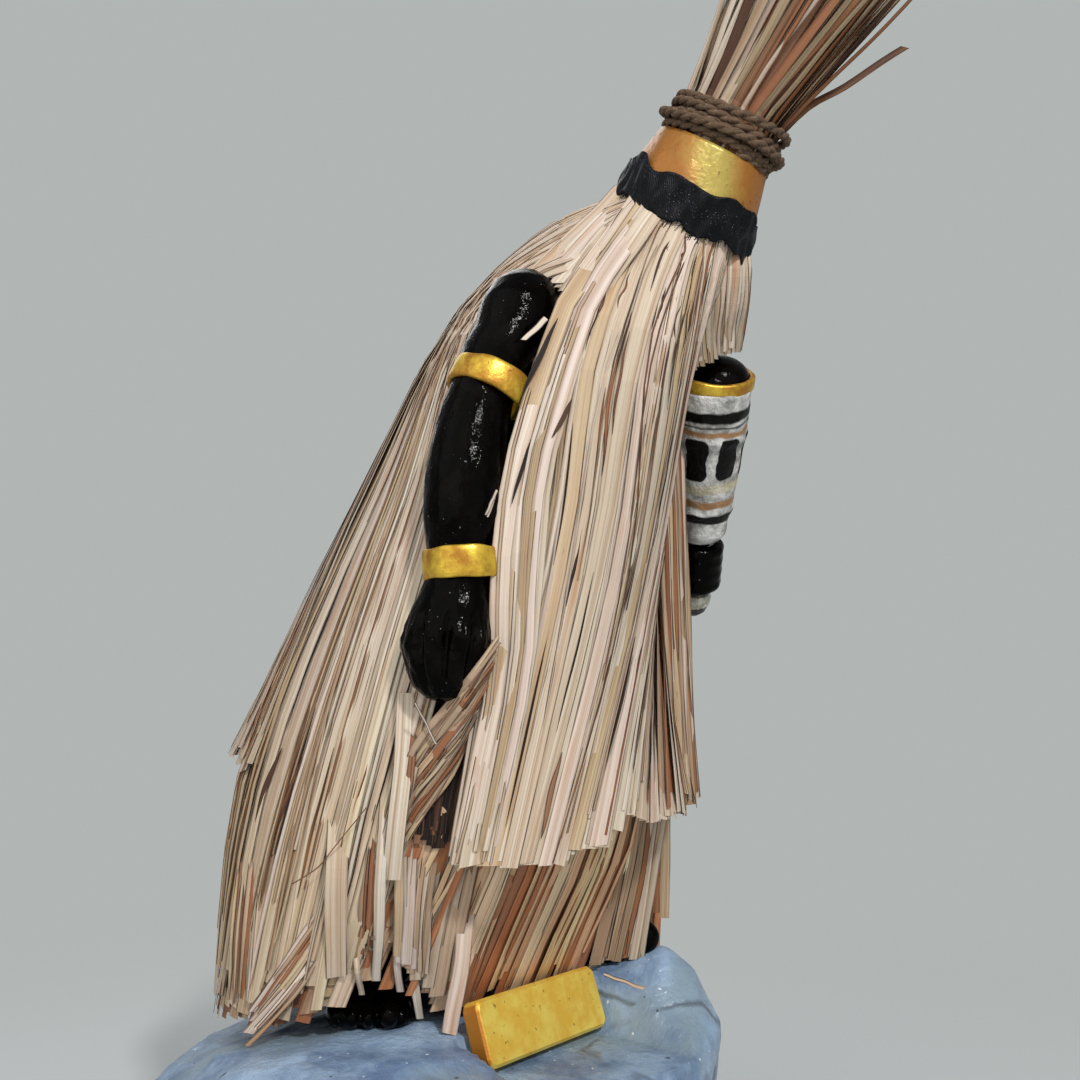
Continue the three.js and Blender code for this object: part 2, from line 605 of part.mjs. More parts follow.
// A ring of straw that sits close round the body at one height
function waistRing(h) {
  const k = BODY_ROWS.findIndex((row) => row[0] > h);
  const low = BODY_ROWS[k - 1];
  const t = (h - low[0]) / (BODY_ROWS[k][0] - low[0]);
  const [, y, rx, ry] = low.map((v, i) => mix(v, BODY_ROWS[k][i], t));
  const out = FIT + STRAW_THICK / 2;
  return { y, z: up(h), tilt: 0, front: ry + out, back: ry + out, side: rx + out };
}

// The skirt rises over both feet and reaches lowest at the back
const skirtLift = (d) => 14.5 * bell(turnNear(d, 48), 36) + 5 * bell(turnNear(d, 298), 26)
  - 5 * bell(turnNear(d, 195), 75);
const SKIRT_RINGS = [
  waistRing(WAIST_TOP),
  waistRing(WAIST_LOW),
  { y: -9, z: up(62), tilt: 0, front: 43, back: 54, side: 44, push: [6, -6, 45, 34] },
  {
    y: 14, z: up(SKIRT_HEM), tilt: 0, front: 37, back: 45, side: 51,
    push: [16, -26, 50, 21], lift: skirtLift,
  },
].map((ring) => ({ ...ring, arc: WHOLE_TURN }));

const STRAND_WIDE = 0.96; // share of its cell that a strand fills below the band
const STRAND_TIP = 0.82;

// One strand: it leaves the band as a flat bar and runs through the rings below as a three-sided one
function strand(points, index, start, rings, place) {
  const add = (p) => points.push(p) - 1;
  const half = STRAW_THICK / 2;
  let held = start;
  rings.forEach((ring, k) => {
    const wide = k === rings.length - 1 ? STRAND_TIP : STRAND_WIDE;
    const now = [add(place(k, -wide, half)), add(place(k, wide, half)), add(place(k, 0, -half))];
    const inner = held[held.length - 1];
    quad(index, held[0], now[0], now[1], held[1]);
    quad(index, held[1], now[1], now[2], held[2]);
    if (held.length > now.length) index.push(held[2], now[2], inner);
    quad(index, inner, now[2], now[0], held[0]);
    held = now;
  });
  index.push(held[0], held[2], held[1]);
}

// A band of straw cells whose every other cell runs on down through the rings as a strand
function strawComb(rings, count, fill, ragged, seed) {
  const closed = rings[0].arc === WHOLE_TURN;
  const points = [];
  const index = [];
  const edges = Array.from({ length: count }, (_, i) => [i / count, (i + fill) / count]).flat();
  const span = closed ? 1 : edges[edges.length - 1];
  const angle = (ring, share) => mix(ring.arc[0], ring.arc[1], share / span);
  const face = (ring, share) => [STRAW_THICK / 2, -STRAW_THICK / 2]
    .map((out) => points.push(strawPoint(ring, angle(ring, share), out)) - 1);
  const [topRing, lowRing, ...below] = rings;
  const posts = edges.map((share) => ({ top: face(topRing, share), low: face(lowRing, share) }));
  const cells = closed ? posts.length : posts.length - 1;
  for (let k = 0; k < cells; k += 1) {
    const a = posts[k];
    const b = posts[(k + 1) % posts.length];
    quad(index, a.top[0], a.low[0], b.low[0], b.top[0]);
    quad(index, a.top[1], b.top[1], b.low[1], a.low[1]);
    quad(index, a.top[0], b.top[0], b.top[1], a.top[1]);
    if (k % 2 === 1) {
      quad(index, a.low[0], a.low[1], b.low[1], b.low[0]);
      continue;
    }
    const centre = edges[k] + fill / count / 2;
    const place = (level, side, out) => {
      const share = centre + (side * fill) / count / 2;
      const at = strawPoint(below[level], angle(below[level], share), out);
      if (level < below.length - 1) return at;
      const above = below[level - 1];
      return at.lerp(strawPoint(above, angle(above, share), out), ragged * vary(k, seed));
    };
    strand(points, index, [a.low[0], b.low[0], b.low[1], a.low[1]], below, place);
  }
  if (!closed) {
    const a = posts[0];
    const b = posts[posts.length - 1];
    quad(index, a.top[0], a.top[1], a.low[1], a.low[0]);
    quad(index, b.top[0], b.low[0], b.low[1], b.top[1]);
  }
  return carve([shell(points, index)]);
}

// Heights of the pieces on the head's axis
const COLLAR_FROM = RIBBON_HALF - COLLAR_LAP;
const COLLAR_TO = COLLAR_FROM + COLLAR_LENGTH;
const COLLAR_LOW_RADIUS = RIBBON_RADIUS - FIT;
const TWINE_FROM = COLLAR_TO + FIT + TWINE_DIAMETER / 2;
const TWINE_TO = TWINE_FROM + TWINE_PITCH * TWINE_TURNS;
const TWINE_STEPS = 24; // to a turn
const TWINE_SIDES = 6;
const TWINE_START = -2.2; // radians round the head's axis
const BUNDLE_TOP = TWINE_TO + TWINE_DIAMETER / 2 + 2;

// One unbroken winding round the bundle, with short straight ends
function twineBinding() {
  const coil = BUNDLE_RADIUS + FIT + TWINE_DIAMETER / 2;
  const steps = Math.round(TWINE_STEPS * TWINE_TURNS);
  const path = Array.from({ length: steps + 1 }, (_, i) => {
    const t = TWINE_START + (2 * Math.PI * i) / TWINE_STEPS;
    return vec(coil * Math.cos(t), coil * Math.sin(t), TWINE_FROM + (TWINE_PITCH * i) / TWINE_STEPS);
  });
  const lead = path[0].clone().sub(path[1]).setLength(TWINE_DIAMETER).add(path[0]);
  const tail = path[steps].clone().sub(path[steps - 1]).setLength(TWINE_DIAMETER).add(path[steps]);
  path.unshift(lead);
  path.push(tail);
  let least = Infinity;
  path.forEach((p, i) => {
    for (const q of path.slice(i + TWINE_STEPS / 2)) {
      least = Math.min(least, p.distanceTo(q) - TWINE_DIAMETER);
    }
  });
  console.log("twine_binding least gap to itself " + least.toFixed(2) + " mm");
  const rings = path.map((p, i) => {
    const along = path[Math.min(i + 1, path.length - 1)].clone().sub(path[Math.max(i - 1, 0)]).normalize();
    const a = Z.clone().addScaledVector(along, -Z.dot(along)).normalize();
    const b = along.clone().cross(a);
    return ovalRing(p, a, b, TWINE_DIAMETER / 2, TWINE_DIAMETER / 2, TWINE_SIDES);
  });
  return carve([loft(rings)]);
}

function goldCollar() {
  return carve([turned([
    [COLLAR_LOW_RADIUS, COLLAR_FROM], [COLLAR_TOP_RADIUS, COLLAR_TO],
    [COLLAR_TOP_RADIUS - COLLAR_THICK, COLLAR_TO], [COLLAR_LOW_RADIUS - COLLAR_THICK, COLLAR_FROM],
  ], 36)]);
}

function blackRibbon() {
  const outer = RIBBON_RADIUS + RIBBON_THICK;
  return carve([turned([
    [outer, -RIBBON_HALF], [outer, RIBBON_HALF], [RIBBON_RADIUS, RIBBON_HALF], [RIBBON_RADIUS, -RIBBON_HALF],
  ], 40)]);
}

const GOLDEN_TURN = 137.508 * RAD;
const TUFT_BOW = 5; // how far the tips lean forward
const TUFT_RAGGED = 0.3; // most that a strand is cut short
const ROOT_HALF = [0.5, 0.4]; // half width and half depth of a strand where it starts
const TIP_HALF = [0.7, 0.5];

// The bundle that fills the collar, and the loose ends that grow out of its top face
function tuftStraw() {
  const sides = 20;
  const flatRing = (r, s) => ovalRing(vec(0, 0, s), X, Y, r, r, sides);
  const rings = [
    flatRing(COLLAR_LOW_RADIUS - COLLAR_THICK - FIT, COLLAR_FROM),
    flatRing(BUNDLE_RADIUS, COLLAR_TO),
    flatRing(BUNDLE_RADIUS, TWINE_TO),
    flatRing(BUNDLE_RADIUS + 0.6, BUNDLE_TOP),
  ];
  const points = rings.flat();
  const index = [];
  for (let a = 0; a < points.length - sides; a += 1) {
    const b = (a + 1) % sides === 0 ? a + 1 - sides : a + 1;
    quad(index, a, b, b + sides, a + sides);
  }
  endCap(points, index, 0, sides, true);
  const rim = rings[rings.length - 1].map((_, i) => i + sides * (rings.length - 1));
  const roots = [];
  for (let i = 0; i < TUFT_STRANDS; i += 1) {
    const turn = i * GOLDEN_TURN;
    const out = (BUNDLE_RADIUS - 1.2) * Math.sqrt((i + 0.5) / TUFT_STRANDS);
    const foot = vec(out * Math.cos(turn), out * Math.sin(turn), BUNDLE_TOP);
    const tip = vec(foot.x * TUFT_FAN, foot.y * TUFT_FAN - TUFT_BOW, BUNDLE_TOP + TUFT_LENGTH);
    tip.lerp(foot, TUFT_RAGGED * vary(i, 5));
    const corners = (at, [w, d]) => [[w, -d], [0, d], [-w, -d]]
      .map(([p, q]) => points.push(vec(at.x + p, at.y + q, at.z)) - 1);
    const low = corners(foot, ROOT_HALF);
    const high = corners(tip, TIP_HALF);
    low.forEach((a, k) => quad(index, a, low[(k + 1) % 3], high[(k + 1) % 3], high[k]));
    index.push(...high);
    roots.push(low);
  }
  const flat = (slots) => slots.map((k) => new THREE.Vector2(points[k].x, points[k].y));
  const slots = [...rim, ...roots.flat()];
  for (const face of THREE.ShapeUtils.triangulateShape(flat(rim), roots.map(flat))) {
    const corners = face.map((k) => slots[k]);
    if (THREE.ShapeUtils.isClockWise(flat(corners))) corners.reverse();
    index.push(...corners);
  }
  return carve([shell(points, index)]);
}

// The tie that holds the skirt at the waist
function waistCord() {
  const [top, low] = SKIRT_RINGS;
  const ring = { tilt: 0 };
  for (const key of ["y", "z", "front", "back", "side"]) ring[key] = (top[key] + low[key]) / 2;
  const seat = STRAW_THICK / 2 + FIT + WAIST_CORD_RADIUS;
  const around = 32;
  const sides = 6;
  const rings = Array.from({ length: around }, (_, i) => Array.from({ length: sides }, (_v, k) => {
    const t = (2 * Math.PI * k) / sides;
    const at = strawPoint(ring, (360 * i) / around, seat + WAIST_CORD_RADIUS * Math.cos(t));
    return at.addScaledVector(Z, WAIST_CORD_RADIUS * Math.sin(t));
  }));
  return carve([loft(rings, true)]);
}

// The assembly
const BLACK = { color: 0x15120f, roughness: 0.25 };
const GOLD = { color: 0xc79a2a, roughness: 0.35, metalness: 0.4 };
const ROCK = { color: 0x7d90a8, roughness: 0.45 };
const WHITE = { color: 0xdedad0, roughness: 0.6 };
const STRAW = { color: 0xcfb894, roughness: 0.8 };
const TWINE = { color: 0x7a6550, roughness: 0.9 };
const SATIN = { color: 0x0d0d10, roughness: 0.4 };
const STEEL = { color: 0x8d9094, roughness: 0.35, metalness: 1 };

function place(parent, name, geometry, paint) {
  const mesh = new THREE.Mesh(geometry, new THREE.MeshStandardMaterial(paint));
  mesh.name = name;
  parent.add(mesh);
  return mesh;
}

function placePin(name, from, to) {
  const pin = place(group, name, rod(from.distanceTo(to), PIN_RADIUS, 12), STEEL);
  pin.applyMatrix4(lineMatrix(from, to));
}

const group = new THREE.Group();
group.name = "orisha_statue";

place(group, "rock_base", rockBase(), ROCK);
const plaque = place(group, "name_plaque", namePlaque(), GOLD);
plaque.position.copy(plaqueAt());
plaque.rotation.x = -PLAQUE_LEAN * RAD;

place(group, "figure_body", figureBody(), BLACK);
place(group, "right_arm", rightArm(), BLACK);
place(group, "left_arm", leftArm(), BLACK);
place(group, "right_armlet", limbBand(RIGHT_ARM, 1.55, 2.6), GOLD);
place(group, "right_bracelet", limbBand(RIGHT_ARM, 7.2, 8.6), GOLD);
place(group, "left_armlet", limbBand(LEFT_UPPER, 1.4, 2.6), GOLD);
place(group, "left_bracelet", limbBand(LEFT_LOWER, 2.5, 3.5), GOLD);
for (const [side, foot] of Object.entries(FEET)) {
  placePin("leg_pin_" + side, ankleAt(foot, -PIN_IN_ROCK), ankleAt(foot, PIN_IN_LEG));
}
placePin("shoulder_pin_right", chestEnd(-1), armEnd(-1));
placePin("shoulder_pin_left", chestEnd(1), armEnd(1));

const scepter = new THREE.Group();
scepter.name = "scepter";
scepter.position.copy(fistAt());
scepter.quaternion.copy(SCEPTER_TURN);
group.add(scepter);
place(scepter, "scepter_core", scepterCore(), BLACK);
place(scepter, "scepter_barrel", scepterBarrel(), WHITE);
place(scepter, "scepter_rim", scepterRim(), GOLD);
place(scepter, "scepter_pommel", scepterPommel(), WHITE);

place(group, "waist_cord", waistCord(), TWINE);
place(group, "skirt_straw", strawComb(SKIRT_RINGS, SKIRT_STRANDS, 0.72, 0.12, 3), STRAW);
place(group, "cape_front_straw", strawComb(panelRings(CAPE_RINGS, FRONT_ARCS), FRONT_STRANDS, 0.76, 0.07, 1), STRAW);
place(group, "cape_back_straw", strawComb(panelRings(BACK_RINGS, BACK_ARCS), BACK_STRANDS, 0.76, 0.12, 2), STRAW);

const head = new THREE.Group();
head.name = "head";
head.position.copy(headAt(0));
head.rotation.x = HEAD_TURN;
group.add(head);
place(head, "tuft_straw", tuftStraw(), STRAW);
place(head, "gold_collar", goldCollar(), GOLD);
place(head, "black_ribbon", blackRibbon(), SATIN);
place(head, "twine_binding", twineBinding(), TWINE);

export default group;
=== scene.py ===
import math

import bpy
import numpy as np
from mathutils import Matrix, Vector, noise


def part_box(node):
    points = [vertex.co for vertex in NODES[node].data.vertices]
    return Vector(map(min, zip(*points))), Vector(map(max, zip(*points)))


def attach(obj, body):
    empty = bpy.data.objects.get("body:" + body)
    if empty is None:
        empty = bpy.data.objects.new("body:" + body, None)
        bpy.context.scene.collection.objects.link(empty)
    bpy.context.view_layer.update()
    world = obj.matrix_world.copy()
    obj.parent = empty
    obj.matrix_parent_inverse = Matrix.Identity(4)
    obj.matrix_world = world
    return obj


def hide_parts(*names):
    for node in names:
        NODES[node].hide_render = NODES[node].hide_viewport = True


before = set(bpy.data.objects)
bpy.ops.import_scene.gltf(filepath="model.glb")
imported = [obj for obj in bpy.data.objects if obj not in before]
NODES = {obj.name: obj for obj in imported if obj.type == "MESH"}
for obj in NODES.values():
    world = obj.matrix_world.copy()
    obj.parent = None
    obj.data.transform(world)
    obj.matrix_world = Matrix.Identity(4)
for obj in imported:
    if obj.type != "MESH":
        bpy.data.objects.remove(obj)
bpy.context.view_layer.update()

MM = 0.001
RAD = math.pi / 180
TURN = 2 * math.pi


def unit(v):
    return v / np.maximum(np.linalg.norm(v, axis=-1, keepdims=True), 1e-9)


def mix(a, b, t):
    return a + (b - a) * t


def smooth(x, low, high):
    t = np.clip((x - low) / (high - low), 0, 1)
    return t * t * (3 - 2 * t)


def bell(x, width):
    return np.exp(-((x / width) ** 2))


def turn_near(d, at):
    return (d - at + 180) % 360 - 180


def around(count):
    """Angles that share out one turn."""
    return np.arange(count) * TURN / count


def lumps(points, *waves):
    """Solid noise at points, summed over waves of an amount and a fineness per millimetre."""
    return np.array([sum(much * noise.noise(Vector(p * fine)) for much, fine in waves) for p in points])


def rgb(r, g, b):
    """A colour given as it looks on screen, 0 to 255, as the linear values that shaders use."""
    return [((v / 255 + 0.055) / 1.055) ** 2.4 if v > 10 else v / 255 / 12.92 for v in (r, g, b)]


# Places taken over from the CAD model, in millimetres
DECK = 45.5
HEAD_AT = np.array([0.0, -76.5, DECK + 194])
HEAD_TILT = 32 * RAD
HEAD_X = np.array([1.0, 0, 0])
HEAD_UP = np.array([0, -math.sin(HEAD_TILT), math.cos(HEAD_TILT)])
HEAD_BACK = np.array([0, math.cos(HEAD_TILT), math.sin(HEAD_TILT)])
FIST = np.array([44.3, -55.5, DECK + 113.2])
SCEPTER_UP = unit(np.array([-24.9, -17.7, 41.6]))
SCEPTER_X = unit(np.cross(np.array([0, 0, 1.0]), SCEPTER_UP))
SCEPTER_Y = np.cross(SCEPTER_UP, SCEPTER_X)

# The camera, in millimetres and in the photograph's pixels
CAMERA_AT = np.array([-261.5, -210.0, 117.9])
PICTURE = 1080
FOCAL = 1250
HORIZON = 713
HEADING = (0.829, 0.559)
ACROSS = (HEADING[1], -HEADING[0], 0.0)
PITCH = math.atan((HORIZON - PICTURE / 2) / FOCAL)
LOOK = unit(np.array([HEADING[0] * math.cos(PITCH), HEADING[1] * math.cos(PITCH), math.sin(PITCH)]))
RIGHT = unit(np.array(ACROSS))
UPWARD = np.cross(RIGHT, LOOK)


def seen_at(readings):
    """Points from readings of the photograph: pixels across and down, and millimetres into the picture."""
    across, down, depth = np.moveaxis(np.array(readings, float), -1, 0)[..., None]
    aside = RIGHT * (across - PICTURE / 2) / FOCAL - UPWARD * (down - PICTURE / 2) / FOCAL
    return CAMERA_AT + depth * (LOOK + aside)


# Materials
class Nodes:
    """A material's node tree with short calls for the nodes used here."""

    def __init__(self, name):
        self.material = bpy.data.materials.new(name)
        self.material.use_nodes = True
        self.tree = self.material.node_tree
        self.shader = self.tree.nodes["Principled BSDF"]

    def node(self, kind, inputs=None, **values):
        made = self.tree.nodes.new(kind)
        for key, value in values.items():
            setattr(made, key, value)
        for key, value in (inputs or {}).items():
            self.put(made.inputs[key], value)
        return made

    def put(self, socket, value):
        if isinstance(value, bpy.types.NodeSocket):
            self.tree.links.new(value, socket)
        elif value is not None:
            socket.default_value = value

    def set(self, **values):
        for key, value in values.items():
            self.put(self.shader.inputs[key.replace("_", " ")], value)

    def math(self, operation, a, b=None):
        return self.node("ShaderNodeMath", {0: a, 1: b}, operation=operation).outputs[0]

    def off(self, value, middle):
        """How far a value is from a middle, either way."""
        return self.math("ABSOLUTE", self.math("SUBTRACT", value, middle))

    def sum(self, a, share_a, b, share_b):
        return self.math("ADD", self.math("MULTIPLY", a, share_a), self.math("MULTIPLY", b, share_b))

    def vector(self, operation, a, b=None):
        made = self.node("ShaderNodeVectorMath", {0: a, 1: b}, operation=operation)
        return made.outputs["Value" if operation in ("DOT_PRODUCT", "LENGTH") else "Vector"]

    def place(self):
        return self.node("ShaderNodeTexCoord").outputs["Object"]

    def uv(self, name):
        return self.node("ShaderNodeUVMap", uv_map=name).outputs["UV"]

    def attribute(self, name, output):
        return self.node("ShaderNodeAttribute", attribute_name=name).outputs[output]

    def noise(self, vector, scale, detail=3.0, rough=0.5, output="Fac"):
        """Noise of one scale, or stretched by a scale for each axis."""
        if isinstance(scale, tuple):
            vector = self.vector("MULTIPLY", vector, scale)
            scale = 1.0
        inputs = {"Vector": vector, "Scale": scale, "Detail": detail, "Roughness": rough}
        return self.node("ShaderNodeTexNoise", inputs).outputs[output]

    def step(self, value, low, high):
        """0 to 1 as a value goes from low to high, smooth between them. It falls where low is the larger."""
        inputs = {"Value": value, "From Min": low, "From Max": high}
        return self.node("ShaderNodeMapRange", inputs, interpolation_type="SMOOTHSTEP").outputs["Result"]

    def range(self, value, to_low, to_high, low=0.3, high=0.7):
        inputs = {"Value": value, "From Min": low, "From Max": high, "To Min": to_low, "To Max": to_high}
        return self.node("ShaderNodeMapRange", inputs).outputs["Result"]

    def blend(self, factor, a, b, how="MIX"):
        made = self.node("ShaderNodeMix", data_type="RGBA", blend_type=how)
        for key, value in ((0, factor), (6, a), (7, b)):
            self.put(made.inputs[key], (*value, 1) if isinstance(value, (list, tuple)) else value)
        return made.outputs[2]

    def over(self, colour, value, low, high, paint, share=None):
        """Paint over a colour, by a share, as a value goes from low to high."""
        factor = self.step(value, low, high)
        if share is not None:
            factor = self.math("MULTIPLY", factor, share)
        return self.blend(factor, colour, paint)

    def bump(self, height, strength, distance, under=None):
        inputs = {"Height": height, "Strength": strength, "Distance": distance, "Normal": under}
        return self.node("ShaderNodeBump", inputs).outputs["Normal"]


def straw_material():
    m = Nodes("straw")
    grain = m.attribute("grain", "Vector")
    tint = m.attribute("tint", "Color")
    rim = m.attribute("rim", "Fac")
    streak = m.noise(grain, (1.1, 0.008, 1), 4.0, 0.6)
    fine = m.noise(grain, (4.2, 0.006, 1), 3.0, 0.6)
    patch = m.noise(grain, (0.3, 0.02, 1), 3.0, 0.6)
    knot = m.noise(grain, (0.8, 0.2, 1), 2.0)
    broken = m.noise(grain, (0.0, 0.045, 1), 2.0)
    colour = m.blend(m.range(streak, 0.0, 1.0, 0.3, 0.65), rgb(212, 194, 178), (1.0, 1.0, 1.0))
    colour = m.blend(1.0, tint, colour, "MULTIPLY")
    colour = m.over(colour, patch, 0.56, 0.76, rgb(172, 116, 66), 0.6)
    colour = m.over(colour, fine, 0.46, 0.32, rgb(116, 88, 68), 0.45)
    colour = m.over(colour, knot, 0.73, 0.79, rgb(104, 72, 50), 0.5)
    # Dark lines along each strip's edges: partly the straw's own dark edges, partly painted shade between
    # neighbouring strips
    colour = m.over(colour, rim, 0.34, 0.06, rgb(36, 23, 18), m.range(broken, 0.3, 1.0, 0.4, 0.6))
    m.set(Base_Color=colour, Roughness=m.range(fine, 0.72, 0.55), Specular_IOR_Level=0.25)
    m.set(Normal=m.bump(m.sum(streak, 0.5, fine, 0.5), 0.5, 0.0003))
    return m.material


def black_material():
    m = Nodes("black_gloss")
    at = m.place()
    swell = m.noise(m.vector("MULTIPLY", at, (1, 1, 0.5)), 330, 3.0, 0.55)
    pits = m.noise(at, 1300, 2.0, 0.6)
    wear = m.noise(at, 120, 4.0, 0.6)
    dust = m.noise(at, 1000, 1.0, 0.4)
    colour = m.over((0.001, 0.0007, 0.0005), wear, 0.45, 0.75, (0.004, 0.003, 0.0022))
    colour = m.over(colour, dust, 0.77, 0.8, (0.1, 0.1, 0.11))
    m.set(Base_Color=colour, Roughness=m.range(wear, 0.05, 0.12), Specular_IOR_Level=0.05)
    m.set(Normal=m.bump(pits, 0.35, 0.0003, m.bump(swell, 0.3, 0.0008)))
    return m.material


def gold_material(name, light=(230, 194, 66), dark=(164, 110, 28), rough=(0.44, 0.3), end=None):
    """Worn gold paint, browner where x is below end, in metres: painted shade on the plaque's end face."""
    m = Nodes(name)
    at = m.place()
    cloud = m.noise(at, 170, 4.0, 0.6)
    speck = m.noise(at, 700, 2.0)
    flake = m.noise(at, 1400, 2.0, 0.6)
    colour = m.over(rgb(*dark), cloud, 0.35, 0.68, rgb(*light))
    colour = m.over(colour, speck, 0.68, 0.74, rgb(90, 54, 16), 0.6)
    if end is not None:
        along = m.vector("DOT_PRODUCT", at, (1.0, 0.0, 0.0))
        # Painted shade: the end face, below end in x, turns brown
        colour = m.over(colour, along, end + 0.0007, end, rgb(176, 112, 34))
    m.set(Base_Color=colour, Metallic=0.55, Roughness=m.range(cloud, *rough))
    m.set(Normal=m.bump(cloud, 0.3, 0.0006, m.bump(flake, 0.25, 0.0003)))
    return m.material


# The middle of the collar's painted highlight, as the camera sees it, in metres across the view from the
# frame's upright axis
COLLAR_HIGHLIGHT_MIDDLE = 0.068


def collar_material():
    """Gold paint with a painted highlight, pale in the middle as the camera sees it, and painted shade that
    browns it towards the edges.
    """
    m = Nodes("collar_gold")
    at = m.place()
    cloud = m.noise(at, 150, 4.0, 0.6)
    speck = m.noise(at, 620, 2.0)
    across = m.off(m.vector("DOT_PRODUCT", at, ACROSS), COLLAR_HIGHLIGHT_MIDDLE)
    away = m.math("ADD", across, m.math("MULTIPLY", cloud, 0.009))
    # Painted highlight in the middle of the view, painted shade towards the collar's edges as the camera sees
    # them
    colour = m.over(rgb(176, 156, 76), away, 0.005, 0.013, rgb(156, 100, 36))
    colour = m.over(colour, cloud, 0.54, 0.68, rgb(168, 104, 40), 0.55)
    colour = m.over(colour, speck, 0.66, 0.72, rgb(104, 62, 28), 0.6)
    m.set(Base_Color=colour, Metallic=0.3, Roughness=m.range(speck, 0.26, 0.46))
    m.set(Normal=m.bump(speck, 0.3, 0.0005, m.bump(cloud, 0.5, 0.0008)))
    return m.material


def rock_material():
    m = Nodes("rock_paint")
    at = m.place()
    cloud = m.noise(at, 55, 6.0, 0.65)
    smudge = m.noise(m.vector("ADD", at, (3.1, 1.7, 0.4)), 30, 4.0, 0.6)
    pits = m.noise(at, 420, 4.0, 0.65)
    speck = m.noise(at, 330, 1.0, 0.4)
    painted_shine = m.noise(m.vector("ADD", at, (0.7, 2.9, 1.3)), 620, 1.0, 0.4)
    colour = m.over(rgb(90, 113, 144), cloud, 0.34, 0.62, rgb(143, 166, 190))
    colour = m.over(colour, smudge, 0.52, 0.66, rgb(126, 143, 152), 0.75)
    colour = m.over(colour, smudge, 0.40, 0.30, rgb(64, 82, 116), 0.55)
    wobble = m.vector("MULTIPLY", m.noise(at, 60, 2.0, 0.5, "Color"), (0.012, 0.012, 0.012))
    inputs = {"Vector": m.vector("ADD", at, wobble), "Scale": 26}
    cells = m.node("ShaderNodeTexVoronoi", inputs, feature="DISTANCE_TO_EDGE")
    some = m.step(m.noise(at, 18, 2.0), 0.48, 0.6)
    crack = m.math("MULTIPLY", m.step(cells.outputs["Distance"], 0.035, 0.0), some)
    colour = m.blend(m.math("MULTIPLY", crack, 0.65), colour, rgb(58, 66, 78))
    colour = m.over(colour, speck, 0.73, 0.77, rgb(28, 30, 36), 0.85)
    # Pale specks as painted glints of the gloss paint
    colour = m.over(colour, painted_shine, 0.75, 0.79, rgb(226, 232, 238), 0.8)
    m.set(Base_Color=colour, Roughness=m.range(cloud, 0.4, 0.22), Specular_IOR_Level=0.45)
    height = m.math("SUBTRACT", cloud, m.math("MULTIPLY", crack, 0.25))
    m.set(Normal=m.bump(height, 0.6, 0.0025, m.bump(pits, 0.5, 0.0008)))
    return m.material


def twine_material():
    m = Nodes("twine")
    grain = m.attribute("grain", "Vector")
    fibre = m.noise(grain, (3.0, 0.35, 1), 3.0, 0.6)
    cloud = m.noise(grain, (0.1, 0.06, 1), 2.0)
    colour = m.over(rgb(44, 32, 24), fibre, 0.3, 0.68, rgb(122, 98, 76))
    colour = m.over(colour, cloud, 0.5, 0.75, rgb(96, 70, 50), 0.5)
    m.set(Base_Color=colour, Roughness=0.75, Specular_IOR_Level=0.25)
    m.set(Normal=m.bump(fibre, 0.6, 0.0004))
    return m.material


def satin_material():
    m = Nodes("black_satin")
    uv = m.uv("weave")
    inputs = {"Vector": m.vector("MULTIPLY", uv, (1.0, 0.7, 1.0)), "Scale": 1.1, "Distortion": 1.2}
    twill = m.node("ShaderNodeTexWave", inputs, wave_type="BANDS", bands_direction="DIAGONAL")
    thread = m.noise(uv, (3.2, 1.6, 1), 2.0)
    cloud = m.noise(uv, (0.12, 0.3, 1), 2.0)
    painted_glint = m.noise(uv, (2.4, 3.4, 1), 1.0, 0.4)
    colour = m.over((0.0015, 0.0015, 0.002), thread, 0.4, 0.7, (0.005, 0.0055, 0.008))
    # Painted glints: pale specks of sheen on the satin where the cloud allows
    colour = m.over(colour, painted_glint, 0.66, 0.74, (0.16, 0.18, 0.24), m.step(cloud, 0.42, 0.6))
    m.set(Base_Color=colour, Roughness=m.range(cloud, 0.36, 0.55), Specular_IOR_Level=0.15)
    m.set(Normal=m.bump(m.sum(twill.outputs["Fac"], 0.4, thread, 0.6), 0.7, 0.0002))
    return m.material


# Paint on the barrel: millimetres up from its lower end, a colour, a strength and the softness of the edges
BARREL_BLACK = rgb(9, 6, 5)
BARREL_OCHRE = rgb(150, 104, 52)
BARREL_STRIPES = [
    (6.6, 9.2, BARREL_BLACK, 1.0, 0.35),
    (11.0, 13.2, BARREL_OCHRE, 0.85, 0.35),
    (15.6, 18.4, rgb(190, 176, 140), 0.6, 0.35),
    (31.5, 33.0, BARREL_OCHRE, 0.85, 0.35),
    (34.0, 34.5, BARREL_BLACK, 0.8, 0.2),
    (35.3, 38.1, BARREL_BLACK, 1.0, 0.35),
]
# Black blocks round the barrel: the middle and half size of each, in shares of its room and in millimetres
BARREL_BLOCKS = 7
BLOCK_START = 0.716
BLOCK_ACROSS = (0.48, 0.35)
BLOCK_UP = (25.2, 5.7)
BLOCK_CORNER = 5.0


